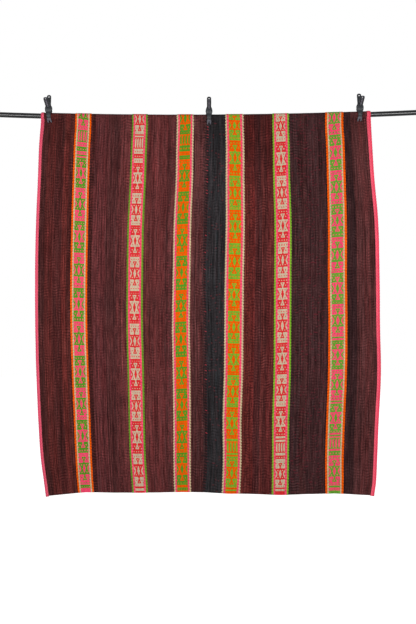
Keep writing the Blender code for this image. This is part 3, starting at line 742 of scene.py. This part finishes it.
def binding(side, mat):
    """The flat tubular braid along an outer edge, with slanting strands in two lanes on each face."""
    inward = 1 if side == "left" else -1
    count = round((FRONT_LENGTH - CLOTH_END) / BRAID_ROW)
    drops = np.linspace(CLOTH_END, FRONT_LENGTH, count + 1)[:, None]
    turns = math.tau * np.arange(BRAID_SIDES) / BRAID_SIDES
    cos, sin = np.cos(turns), np.sin(turns)
    across = 0.5 - 0.5 * np.sign(cos) * np.abs(cos) ** BRAID_ROUNDING[0]
    up = np.sign(sin) * np.abs(sin) ** BRAID_ROUNDING[1]
    lane = np.abs(2 * across - 1)
    phase = drops / RIB_PITCH + STRAND_TURN * lane + LANE_TURN * (across > 0.5)
    strand = np.abs(np.sin(math.pi * phase)) - STRAND_MEAN
    groove = LANE_GROOVE_DEPTH * np.exp(-(lane / LANE_GROOVE_WIDTH) ** 2)
    rise = BRAID_RISE * (strand - groove) * np.sqrt(np.abs(up))
    x = lay(side, drops) + inward * (EDGE_INSET[side] + BINDING_WIDTH[side] * across)
    x -= inward * BRAID_SWING * strand * cos
    points = cloth_skin(x, drops, BINDING_THICKNESS / 2 * up + rise * np.sign(up))
    points[[0, -1], :, 2] -= BINDING_OVERHANG
    rows, sides = points.shape[:2]
    index = np.arange(rows * sides).reshape(rows, sides)
    turned = np.roll(index, -1, axis=1)
    quads = np.stack([index[:-1], index[1:], turned[1:], turned[:-1]], axis=-1).reshape(-1, 4)
    caps = [index[0].tolist(), index[-1][::-1].tolist()]
    mesh = bpy.data.meshes.new(f"braid_{side}")
    mesh.from_pydata(points.reshape(-1, 3).tolist(), [], quads.tolist() + caps)
    add_map(mesh, "Weave", pairs(across, drops).reshape(-1, 2)[corner_vertices(mesh)])

    per_length = math.ceil((rows - 1) / BRAID_LENGTHS)
    face_rows, face_sides = (part[:, None] for part in np.divmod(np.arange((rows - 1) * sides), sides))
    lanes = face_rows // per_length
    inside = 1 - 2 * BAKE_MARGIN
    u = (lanes + BAKE_MARGIN + inside * (face_sides + (0, 0, 1, 1)) / sides) / BRAID_LENGTHS
    v = BAKE_MARGIN + inside * (face_rows + (0, 1, 1, 0) - lanes * per_length) / per_length
    disc = BAKE_MARGIN / 2 * (1 + BAKE_DISC * np.stack([cos, sin], axis=-1))
    discs = [disc, disc[::-1] + (0.5, 0.0)]
    add_map(mesh, "OFBake", np.concatenate([np.stack([u, v], axis=-1).reshape(-1, 2)] + discs))
    mesh.uv_layers["Weave"].active_render = True
    if inward < 0:
        mesh.flip_normals()
    mesh.shade_smooth()
    return placed(linked(f"braid_{side}", mesh), [mat], f"binding_{side}", slot="braid")


def ring(bm, centre, radius, sides, across, up):
    """A ring of vertices round a point."""
    turns = (math.tau * k / sides for k in range(sides))
    return [bm.verts.new(centre + radius * (across * math.cos(t) + up * math.sin(t))) for t in turns]


def swept(bm, points, radius, sides, look=0):
    """A round tube with closed ends along a list of points."""
    rings, side = [], None
    for k, point in enumerate(points):
        along = (points[min(k + 1, len(points) - 1)] - points[max(k - 1, 0)]).normalized()
        side = side or along.cross(Z_WAY if abs(along.z) < NEARLY_UPRIGHT else X_WAY)
        side = (side - along * side.dot(along)).normalized()
        rings.append(ring(bm, point, radius, sides, side, side.cross(along)))
    for face in join_rings(bm, rings):
        face.material_index = look


def join_rings(bm, rings):
    """Faces between each ring of vertices and the next, with an end face on the first and the last."""
    faces = []
    for low, high in zip(rings, rings[1:]):
        for k in range(len(low)):
            n = (k + 1) % len(low)
            faces.append(bm.faces.new((low[k], low[n], high[n], high[k])))
    faces.append(bm.faces.new(rings[0][::-1]))
    faces.append(bm.faces.new(rings[-1]))
    return faces


def finished(name, bm):
    """Turn a bmesh into an object with its faces pointing out, smooth but for its edges."""
    bmesh.ops.recalc_face_normals(bm, faces=bm.faces)
    mesh = bpy.data.meshes.new(name)
    bm.to_mesh(mesh)
    bm.free()
    mesh.shade_smooth()
    mesh.set_sharp_from_angle(angle=CREASE["hard"])
    return linked(name, mesh)


def stitch(bm, kind, drop, stretch, look):
    """One slanting stitch across the seam, in the direction of the weft."""
    spec = STITCHES[kind]
    shares, lifts = np.array(STITCH_SHARES), np.array(STITCH_LIFTS)
    drops = drop + shares * STITCH_SLANT
    rows = np.stack([drops - MM / 2, drops, drops + MM / 2])
    xs = lay("seam", drops) + spec["shift"] + shares * spec["reach"] * stretch
    lift = GROUND_SKIN + lifts * spec["radius"]
    points = cloth_skin(np.broadcast_to(xs, rows.shape), rows, np.broadcast_to(lift, rows.shape))[1]
    swept(bm, [Vector(p) for p in points], spec["radius"], STITCH_SIDES, look)


def seam_stitches(mats):
    """Stitches that hold the two panels together, in black yarn and in reds that fade towards the hem."""
    bm = bmesh.new()
    chance = np.random.default_rng(STITCH_SEED)
    for k in range(1, int((FRONT_LENGTH - CLOTH_END) / RIB_PITCH)):
        for kind, spec in STITCHES.items():
            drop = CLOTH_END + (k + spec["turn"]) * RIB_PITCH + chance.uniform(-1, 1) * STITCH_STRAY
            stretch, pick = chance.uniform(*STITCH_STRETCH), chance.uniform()
            depth = drop if drop > 0 else -drop - FOLD_ARC
            if abs(depth - PINCH_DEPTH) < STITCH_CLEAR or drop > FRONT_LENGTH - RIB_PITCH / 2:
                continue
            bright = BRIGHT_SHARE["top" if 0 < drop < BRIGHT_END else "rest"]
            look = 0 if kind == "black" else 1 if pick > bright else 2
            stitch(bm, kind, drop, stretch, look)
    return placed(finished("seam_stitches", bm), mats, slot="wool_left")


def rod(mat):
    """The round bar, bent by the rug's weight, with eased ends."""
    end = [(ROD_EDGE * along - ROD_HALF_LENGTH, ROD_RADIUS - ROD_EDGE * thinner)
           for along, thinner in ROD_ROUNDING]
    steps = [ROD_HALF_LENGTH * (2 * k / ROD_SPANS - 1) for k in range(1, ROD_SPANS)]
    sections = end + [(x, ROD_RADIUS) for x in steps] + [(-x, radius) for x, radius in end[::-1]]
    bm = bmesh.new()
    join_rings(bm, [ring(bm, Vector((x, 0.0, rod_height(x))), radius, ROD_SIDES, Y_WAY, Z_WAY)
                    for x, radius in sections])
    placed(finished("rod_tube", bm), [mat], "rod", slot="rod_black")


def clip_rows(side):
    """Rows of an arm from the end of its handle to its nose, on a smooth curve through the table's rows."""
    rows = np.array(ARM_ROWS)
    last = len(rows) - 1
    fine = []
    for k in range(last):
        before, low, high, after = rows[max(k - 1, 0)], rows[k], rows[k + 1], rows[min(k + 2, last)]
        fine += [smooth(t, low, high, (high - before) / 2, (after - low) / 2)
                 for t in np.arange(ARM_STEPS) / ARM_STEPS]
    fine.append(rows[last])
    nose_out = (GROUND_THICKNESS + GAP / 2 + GAP + NOSE_RADIUS) / math.cos(CLIP_TILT) / MM
    for below, thickness, half_width in NOSE_ROWS:
        fine.append((nose_out - NOSE_LEAN * below, -JAW_REACH / MM - below, thickness, half_width, 0.0))
    fine = np.array(fine) * MM
    fine[:, 0] *= side
    return np.maximum(fine, [-1, -1, 0, 0, 0])


def lever_section(half_width, half, groove, rib_share):
    """Outline of an arm's section: rounded corners, and a groove with a low rib on its outer face."""
    rounding = min(CORNER_RADIUS, CORNER_SHARES[0] * half_width, CORNER_SHARES[1] * half)
    points = []

    def corner(across, up, first):
        for turn in CORNER_TURNS:
            angle = math.radians(first + 90 * turn)
            points.append((across * (half_width - rounding) + rounding * math.cos(angle),
                           up * (half - rounding) + rounding * math.sin(angle)))

    corner(-1, -1, 180)
    corner(1, -1, 270)
    corner(1, 1, 0)
    rim = half_width - max(rounding, min(RIM_WIDTH, half_width / 3))
    floor = half - groove
    rib = min(RIB_HALF_WIDTH, rim / 3)
    shoulders = [(rim, half), (rim - GROOVE_SLOPE, floor), (RIB_FOOT * rib, floor),
                 (rib, floor + rib_share * groove)]
    points += shoulders + [(-across, up) for across, up in reversed(shoulders)]
    corner(-1, 1, 90)
    return points


def clip_arm(name, kind, mats):
    """One plastic arm: a grooved lever with a ring at its handle, ears at the pivot and a forked nose."""
    side = -1 if kind == "front" else 1
    rows = clip_rows(side)
    bm = bmesh.new()
    loops = []
    for k, (out, up, thickness, half_width, groove) in enumerate(rows):
        before, after = rows[max(k - 1, 0)], rows[min(k + 1, len(rows) - 1)]
        down = Vector((after[0] - before[0], after[1] - before[1])).normalized()
        away = Vector((-down.y, down.x)) * side
        studs = STUD_SHARE * math.cos(math.tau * up / STUD_PITCH) if up > STUD_END else 0.0
        loops.append([bm.verts.new((x, out + away.x * n, up + away.y * n))
                      for x, n in lever_section(half_width, thickness / 2, groove, RIB_SHARE + studs)])
    around = len(loops[0])
    for k, face in enumerate(join_rings(bm, loops)[:-2]):
        up = rows[k // around, 1]
        # The rib and the jaw take the paler plastic, which is rubbed and also a painted highlight
        if up < RUBBED_HIGHLIT_JAW or (up > STUD_END and k % around in RUBBED_HIGHLIT_SIDES):
            face.material_index = 1
    obj = finished(name, bm)
    for mat in mats:
        obj.data.materials.append(mat)

    inner = EAR_INNER_FACE[kind]
    root = side * EAR_ROOT
    turns = [math.pi * (k / EAR_STEPS - 0.5) for k in range(EAR_STEPS + 1)]
    outline = [(-side * EAR_RADIUS * math.cos(t), EAR_RADIUS * math.sin(t)) for t in turns]
    outline = [(root, -EAR_RADIUS)] + outline + [(root, EAR_RADIUS)]
    for low in (-inner - EAR_THICKNESS, inner):
        bm = bmesh.new()
        join_rings(bm, [[bm.verts.new((x, y, z)) for y, z in outline] for x in (low, low + EAR_THICKNESS)])
        combine(obj, finished("ear", bm), "UNION")

    combine(obj, drilled(Vector((0, 0, 0)), X_WAY, PIN_RADIUS + GAP, PIN_SIDES), "DIFFERENCE")
    lever = Vector((0.0, side * ARM_ROWS[0][0], ARM_ROWS[0][1])).normalized()
    centre = lever * (HANDLE_LENGTH - RING_HOLE_INSET)
    combine(obj, drilled(centre, lever.cross(X_WAY), RING_HOLE_RADIUS, RING_HOLE_SIDES), "DIFFERENCE")
    bm = bmesh.new()
    bmesh.ops.create_cube(bm, size=1.0)
    for vert in bm.verts:
        x, y, z = vert.co
        width = FORK_WIDTHS[0 if z > 0 else 1]
        vert.co = Vector((x * width, y * CUTTER_LENGTH, FORK_TOP + (z - 0.5) * FORK_LENGTH))
    combine(obj, finished("fork", bm), "DIFFERENCE")
    obj.data.shade_smooth()
    obj.data.set_sharp_from_angle(angle=CREASE["hard"])
    return obj


def drilled(centre, way, radius, sides):
    """A round bar that cuts a hole."""
    across = way.orthogonal().normalized()
    up = way.cross(across).normalized()
    bm = bmesh.new()
    join_rings(bm, [ring(bm, centre + way * end * CUTTER_LENGTH / 2, radius, sides, across, up)
                    for end in (-1, 1)])
    return finished("bar", bm)


def combine(obj, tool, operation):
    """Join another body to an object, or cut it away, and delete the other one."""
    mod = obj.modifiers.new(operation.lower(), "BOOLEAN")
    mod.object, mod.operation, mod.solver = tool, operation, "EXACT"
    evaluated = obj.evaluated_get(bpy.context.evaluated_depsgraph_get())
    mesh = bpy.data.meshes.new_from_object(evaluated)
    obj.modifiers.clear()
    obj.data = mesh
    bpy.data.objects.remove(tool)


def clip_pin(name):
    """Steel pivot pin with a domed head at each end."""
    face = EAR_INNER_FACE["front"] + EAR_THICKNESS + GAP
    end = [(face + share * PIN_HEAD_LENGTH, radius * PIN_HEAD_RADIUS) for share, radius in PIN_HEAD_ROWS]
    end = [(face, PIN_RADIUS)] + end
    bm = bmesh.new()
    join_rings(bm, [ring(bm, X_WAY * x, radius, PIN_SIDES, Y_WAY, Z_WAY)
                    for x, radius in [(-x, radius) for x, radius in reversed(end)] + end])
    return finished(name, bm)


def clip_spring(name):
    """Torsion spring round the pin, with a leg against the inside of each handle."""
    steps = round(SPRING_TURNS * SPRING_STEPS)
    coil = []
    for k in range(steps + 1):
        turn = math.pi + math.tau * SPRING_TURNS * k / steps
        coil.append(Vector((SPRING_HALF_WIDTH * (2 * k / steps - 1), SPRING_RADIUS * math.cos(turn),
                            SPRING_RADIUS * math.sin(turn))))
    first = [Vector((-SPRING_HALF_WIDTH, -y, z)) for y, z in (SPRING_FOOT, SPRING_KNEE)]
    last = [Vector((SPRING_HALF_WIDTH, y, z)) for y, z in (SPRING_KNEE, SPRING_FOOT)]
    bm = bmesh.new()
    swept(bm, first + coil + last, WIRE_RADIUS, WIRE_SIDES)
    return finished(name, bm)


def clip(which, plastic, steel):
    """One spring clip, tilted forward so that its jaws meet under the rod."""
    x, lean = CLIP_PLACES[which], CLIP_LEAN[which]
    rise = JAW_REACH * math.cos(CLIP_TILT)
    pivot = Vector((x + rise * math.sin(lean), PINCH_Y - JAW_REACH * math.sin(CLIP_TILT),
                    rod_height(x) - PINCH_DEPTH + rise * math.cos(lean)))
    place = Matrix.Translation(pivot) @ Euler((CLIP_TILT, lean, 0.0)).to_matrix().to_4x4()
    pieces = {
        "front_arm": (clip_arm(f"lever_{which}_front", "front", plastic), [], "clip_plastic"),
        "back_arm": (clip_arm(f"lever_{which}_back", "back", plastic), [], "clip_plastic"),
        "pin": (clip_pin(f"pivot_{which}"), [steel], "clip_steel"),
        "spring": (clip_spring(f"coil_{which}"), [steel], "clip_steel"),
    }
    for node, (obj, mats, slot) in pieces.items():
        obj.data.transform(place)
        placed(obj, mats, f"clip_{which}_{node}", slot=slot)


class Field:
    """A number that varies over a surface. Sums, products and the like of it add nodes to its material."""

    def __init__(self, looks, socket):
        self.looks, self.socket = looks, socket

    def math(self, operation, *others):
        return self.looks.math(operation, self, *others)

    def __rsub__(self, other):
        return self.looks.math("SUBTRACT", other, self)

    __add__ = partialmethod(math, "ADD")
    __sub__ = partialmethod(math, "SUBTRACT")
    __mul__ = partialmethod(math, "MULTIPLY")
    __truediv__ = partialmethod(math, "DIVIDE")
    __pow__ = partialmethod(math, "POWER")
    __gt__ = partialmethod(math, "GREATER_THAN")
    __lt__ = partialmethod(math, "LESS_THAN")
    __abs__ = partialmethod(math, "ABSOLUTE")
    __floor__ = partialmethod(math, "FLOOR")

    def ranged(self, low, high):
        """A number from 0 to 1 moved to the range low to high."""
        return self.math("MULTIPLY_ADD", high - low, low)

    def turned(self, wave="COSINE"):
        """A sine or cosine of turns."""
        return (self * math.tau).math(wave)

    def arched(self):
        """Arches of height 1, one from each whole number to the next."""
        return abs((self * math.pi).math("SINE"))


class Looks:
    """A material with a Principled shader, and short ways to add nodes to it."""

    def __init__(self, name, **inputs):
        self.material = bpy.data.materials.new(name)
        self.material.use_nodes = True
        self.tree = self.material.node_tree
        self.shader = self.tree.nodes["Principled BSDF"]
        self.shade(**inputs)

    def shade(self, **inputs):
        """Feed the shader's sockets."""
        for name, value in inputs.items():
            self.feed(self.shader.inputs[name.replace("_", " ")], value)

    def feed(self, socket, value):
        if isinstance(value, (int, float)):
            socket.default_value = value
        elif isinstance(value, tuple):
            socket.default_value = (*value, 1.0)[:len(socket.default_value)]
        else:
            self.tree.links.new(getattr(value, "socket", value), socket)

    def node(self, kind, inputs=(), **settings):
        """A new node, with its inputs fed in their order or by their names."""
        node = self.tree.nodes.new(kind)
        for name, value in settings.items():
            setattr(node, name, value)
        for key, value in (inputs.items() if isinstance(inputs, dict) else enumerate(inputs)):
            self.feed(node.inputs[key], value)
        return node

    def math(self, operation, *values):
        return Field(self, self.node("ShaderNodeMath", values, operation=operation).outputs[0])

    def weave(self):
        """Places across and along the cloth."""
        place = self.node("ShaderNodeUVMap", uv_map="Weave").outputs[0]
        split = self.node("ShaderNodeSeparateXYZ", [place])
        return Field(self, split.outputs[0]), Field(self, split.outputs[1])

    def vector(self, *values):
        return self.node("ShaderNodeCombineXYZ", values).outputs[0]

    def chance(self, *cell):
        """The same chance number, from 0 to 1, all over a cell."""
        dice = self.node("ShaderNodeTexWhiteNoise", {"Vector": self.vector(*cell)})
        return Field(self, dice.outputs["Value"])

    def noise(self, scale, detail=2.0, place=None):
        """Clouds from 0 to 1, so many to a metre, or to a unit of the place given."""
        if place is None:
            place = self.node("ShaderNodeTexCoord").outputs["Object"]
        inputs = {"Vector": place, "Scale": scale, "Detail": detail}
        return Field(self, self.node("ShaderNodeTexNoise", inputs).outputs["Fac"])

    def streaks(self, across, along, wide, tall, seed, detail=1.0):
        """Noise in patches of about one width and one height, another one for each seed."""
        return self.noise(1.0, detail, self.vector(across / wide, along / tall, seed))

    def ramped(self, value, zero_at, one_at):
        """A soft step from 0 to 1 between two values."""
        step = self.node("ShaderNodeMapRange", [value, zero_at, one_at], interpolation_type="SMOOTHSTEP")
        return Field(self, step.outputs["Result"])

    def mixed(self, share, first, second, **settings):
        inputs = {"Factor": share, "A": first, "B": second}
        return self.node("ShaderNodeMix", inputs, data_type="RGBA", **settings).outputs["Result"]

    def tinted(self, colour, *strengths):
        """A colour made darker or brighter by one number, or by one for each of red, green and blue."""
        grey = self.node("ShaderNodeCombineColor", strengths * (3 // len(strengths))).outputs[0]
        return self.mixed(1.0, colour, grey, blend_type="MULTIPLY")

    def bump(self, height, distance, strength):
        inputs = {"Strength": strength, "Distance": distance, "Height": height}
        self.shade(Normal=self.node("ShaderNodeBump", inputs).outputs[0])


def dyed(srgb):
    """The linear colour of a surface that looks like an sRGB colour under this light."""
    linear = (((v / 255 + 0.055) / 1.055) ** 2.4 if v > 10 else v / 255 / 12.92 for v in srgb)
    return tuple(v / LIGHT_LEVEL for v in linear)


def wool(name):
    """Dull wool, which has nearly no gloss."""
    return Looks(name, **WOOL)


def yarn_height(yarns, beads):
    """Height of warp yarns that lie side by side, each in beads that lie between its neighbours'."""
    rows = beads + math.floor(yarns) * 0.5
    return yarns.arched() ** YARN_ROUNDING * rows.arched().ranged(*BEAD_HEIGHTS)


def yarn(name, srgb):
    """Wool yarn of one colour, in the bands, where the map counts ends and picks."""
    looks = wool(f"yarn_{name}")
    across, along = looks.weave()
    half = sum(STRIPE_ENDS) / 2
    from_edge = half - abs(across - half)
    in_line = from_edge < sum(STRIPE_ENDS[:2])
    bumps = (along / ROWS_A_RIB + from_edge * SLANT).turned()
    beads = along / ROWS_A_BEAD
    height = yarn_height(across, beads)
    # Painted shade in the hollows and painted highlight on the crests, by height, and on the lines' beads
    tone = (looks.chance(math.floor(across), math.floor(beads)).ranged(*BEAD_TONES)
            * looks.streaks(across, along, *SLOW_PATCH, 0.0).ranged(*SLOW_TONES)
            * height.ranged(*CREST_SHADE_TONES) * (in_line * bumps * BEAD_SHADE_TONE + 1.0))
    looks.shade(Base_Color=looks.tinted(dyed(srgb), tone))
    looks.bump(height, *BUMPS["yarn"])
    return looks.material


def ground_wool(side, bounds):
    """Fine warp-faced wool in brown stripes. The map holds metres across the rug and along it."""
    looks = wool(f"brown_wool_{side}")
    across, along = looks.weave()
    low, high = bounds
    place = across + looks.streaks(across, along, *STRIPE_PATCH, 1.0).ranged(-STRIPE_STRAY, STRIPE_STRAY)
    ramp = looks.node("ShaderNodeValToRGB", [(place - low) / (high - low)])
    ramp.color_ramp.interpolation = "CONSTANT"
    stops = ramp.color_ramp.elements
    spot = 0.0
    for k, (end, srgb, rib_shade_strength) in enumerate(STRIPES[side]):
        stop = stops[k] if k < 2 else stops.new(spot)
        stop.position = spot
        stop.color = (*dyed(srgb), rib_shade_strength)
        spot = (end * MM - low) / (high - low)

    def inside(begin, end):
        return (across > begin * MM) * (across < end * MM)

    phase = along / RIB_PITCH
    for turn, wide, tall in RIB_STRAYS:
        phase += (along / (tall * MM) + across / (wide * MM)).turned("SINE") * turn
    yarns, beads = across / YARN_SPACE, along / BEAD_SPACE
    height = yarn_height(yarns, beads)
    fades = looks.streaks(across, along, *FADE_PATCH, 2.0).ranged(*FADE_RANGE).math("MAXIMUM", 0.0)
    # Painted highlight on the ribs and painted shade in their grooves, as strong as each stripe gives
    tone = phase.turned() * ramp.outputs["Alpha"] * fades * RIB_SHADE_TONE + 1.0
    for seed, (wide, tall, dark, bright) in enumerate(GROUND_PATCHES, 3):
        tone *= looks.streaks(across, along, wide * MM, tall * MM, seed).ranged(dark, bright)
    for row in (3.0, math.floor(beads)):
        tone *= looks.chance(math.floor(yarns), row).ranged(*LONE_TONES)
    # Painted shade in the hollows between yarns and beads, and painted highlight on their crests
    tone *= height.ranged(*CREST_SHADE_TONES)
    for begin, end, clear, full, shade in SHADES[side]:
        tone *= inside(begin, end) * looks.ramped(along, clear * MM, full * MM) * -shade + 1.0
    redder = tone * looks.streaks(across, along, *RED_PATCH, 7.0).ranged(*RED_TONES)
    color = looks.tinted(ramp.outputs["Color"], redder, tone, tone)

    spots = looks.chance(math.floor(across / FLECK_WIDTH), math.floor(phase), 5.0)
    in_row = phase.math("FRACT") < FLECK_HEIGHT
    for begin, end, srgb, share in FLECKS[side]:
        on = inside(begin, end) * (spots > 1 - share) * in_row
        color = looks.mixed(on * FLECK_COVER, color, dyed(srgb))
    looks.shade(Base_Color=color)
    looks.bump(height, *BUMPS["yarn"])
    return looks.material


def braid(side):
    """Braid of pink wool, redder in its outer lane."""
    looks = wool(f"pink_braid_{side}")
    inner, outer = BRAID_COLOURS[side]
    across, along = looks.weave()
    outside = across < 0.5
    lane = abs(across * 2.0 - 1.0)
    # The painted shade between strands lies LANE_TURN behind the modelled strands, which softens how they
    # show
    phase = along / RIB_PITCH + lane * STRAND_TURN - outside * LANE_TURN
    fibre = looks.streaks(across * BINDING_WIDTH[side], along + lane * (RIB_PITCH * STRAND_TURN),
                          *FIBRE_PATCH, 0.0, FINE_DETAIL)
    lengths = looks.streaks(across, along, *LENGTH_PATCH, 2.0)
    tone = (fibre.ranged(*FIBRE_TONES) * lengths.ranged(*LENGTH_TONES)
            * phase.arched().ranged(*STRAND_SHADE_TONES))
    looks.shade(Base_Color=looks.tinted(looks.mixed(outside, dyed(inner), dyed(outer)), tone))
    looks.bump(fibre, *BUMPS["braid"])
    return looks.material


def plain_yarn(name, srgb):
    """Wool yarn of the seam's stitches."""
    looks = wool(name)
    fibre = looks.noise(YARN_FIBRE, FINE_DETAIL)
    looks.shade(Base_Color=looks.tinted(dyed(srgb), fibre.ranged(*STITCH_TONES)))
    looks.bump(fibre, *BUMPS["stitch"])
    return looks.material


def gloss_black():
    """Black lacquer with a few dull streaks along the rod."""
    looks = Looks("gloss_black", Specular_IOR_Level=ROD_GLOSS)
    where = looks.node("ShaderNodeTexCoord").outputs["Object"]
    stretch = looks.node("ShaderNodeMapping", {"Vector": where, "Scale": ROD_STREAKS})
    streak = looks.noise(1.0, FINE_DETAIL, stretch.outputs[0])
    looks.shade(Base_Color=looks.tinted(dyed(ROD_BLACK), streak.ranged(*ROD_TONES)),
                Roughness=streak.ranged(*ROD_ROUGHNESS))
    return looks.material


def black_plastic(name, dark, pale):
    """Moulded plastic with a fine pebbled skin, rubbed a little greyer in places, its greys lifted in part
    as painted reflection.
    """
    looks = Looks(name, Specular_IOR_Level=PLASTIC_GLOSS)
    wear_and_reflection = looks.noise(PLASTIC_WEAR_AND_REFLECTION, FINE_DETAIL)
    # The greyer colour is partly painted reflection of the white surroundings
    looks.shade(Base_Color=looks.mixed(wear_and_reflection * GREYER_SHARE, dyed(dark), dyed(pale)),
                Roughness=wear_and_reflection.ranged(*PLASTIC_ROUGHNESS))
    looks.bump(looks.noise(PLASTIC_PEBBLES), *BUMPS["plastic"])
    return looks.material


def brushed_steel():
    looks = Looks("brushed_steel", Metallic=1.0)
    grain = looks.noise(STEEL_GRAIN, FINE_DETAIL)
    looks.shade(Base_Color=looks.tinted(STEEL_COLOUR, grain.ranged(*STEEL_TONES)),
                Roughness=grain.ranged(*STEEL_ROUGHNESS))
    return looks.material


def floor_white():
    """Pale floor, lit up to the white of the surroundings without lighting the rug from below."""
    looks = Looks("pale_floor", Roughness=0.95, Specular_IOR_Level=0.0, Emission_Color=(1.0, 1.0, 1.0))
    seen = looks.node("ShaderNodeLightPath").outputs["Is Camera Ray"]
    looks.shade(Base_Color=looks.tinted(FLOOR_COLOUR, looks.noise(FLOOR_CLOUDS).ranged(*FLOOR_TONES)),
                Emission_Strength=looks.math("MULTIPLY", seen, FLOOR_GLOW))
    return looks.material


def area_light(name, place, target, size, power):
    data = bpy.data.lights.new(name, "AREA")
    data.shape = "RECTANGLE"
    data.size, data.size_y = size
    data.energy = power
    obj = bpy.data.objects.new(name, data)
    bpy.context.collection.objects.link(obj)
    obj.location = place
    obj.rotation_euler = (Vector(target) - Vector(place)).to_track_quat("-Z", "Y").to_euler()


def surroundings():
    """White all round where the camera sees it, and dimmer as light on the rug."""
    world = bpy.data.worlds.new("studio")
    bpy.context.scene.world = world
    world.use_nodes = True
    tree = world.node_tree
    seen, cast = tree.nodes["Background"], tree.nodes.new("ShaderNodeBackground")
    for background, strength in ((seen, 1.0), (cast, AMBIENT)):
        background.inputs["Color"].default_value = (1.0, 1.0, 1.0, 1.0)
        background.inputs["Strength"].default_value = strength
    mix = tree.nodes.new("ShaderNodeMixShader")
    tree.links.new(tree.nodes.new("ShaderNodeLightPath").outputs["Is Camera Ray"], mix.inputs[0])
    tree.links.new(cast.outputs[0], mix.inputs[1])
    tree.links.new(seen.outputs[0], mix.inputs[2])
    tree.links.new(mix.outputs[0], tree.nodes["World Output"].inputs["Surface"])


def stage():
    """Camera, pale floor, white surroundings and soft light."""
    scene = bpy.context.scene
    camera = bpy.data.objects.new("camera", bpy.data.cameras.new("camera"))
    bpy.context.collection.objects.link(camera)
    camera.location = CAMERA_PLACE
    camera.rotation_euler = (math.radians(90), 0.0, 0.0)
    camera.data.sensor_width = SENSOR_WIDTH
    camera.data.lens = SENSOR_WIDTH / 2 / math.tan(CAMERA_ANGLE / 2)
    scene.camera = camera

    bm = bmesh.new()
    bmesh.ops.create_circle(bm, cap_ends=True, radius=FLOOR_RADIUS, segments=FLOOR_SIDES)
    floor = finished("floor", bm)
    floor.location = (0.0, 0.0, FLOOR_HEIGHT)
    floor.data.materials.append(floor_white())

    surroundings()
    scene.view_settings.view_transform = "Standard"
    for name, light in LIGHTS.items():
        area_light(name, *light)


def main():
    stage()
    mats = {name: yarn(name, srgb) for name, srgb in YARNS.items()}
    edge = lay("left", MID_DROP)
    flat = {place: float(lay(place, MID_DROP) - edge) for place in ("left", "seam", "right")}
    bounds = {"left": (bound("left"), flat["seam"]), "right": (flat["seam"], flat["right"])}
    grounds = {side: ground(side, ground_wool(side, bounds[side])) for side in PANELS}
    bands = {which: band(which, mats) for which in BANDS}
    braids = {side: binding(side, braid(side)) for side in PANELS}
    stitches = seam_stitches([plain_yarn(name, srgb) for name, srgb in STITCH_YARNS.items()])
    rod(gloss_black())
    plastic = [black_plastic(name, *colours) for name, colours in PLASTICS.items()]
    steel = brushed_steel()
    for which in CLIP_PLACES:
        clip(which, plastic, steel)

    length = FRONT_LENGTH - CLOTH_END
    for side, places in PANELS.items():
        sewn_on = [bands[place] for place in places if place in bands] + [braids[side]]
        if side == "left":
            sewn_on.append(stitches)


main()
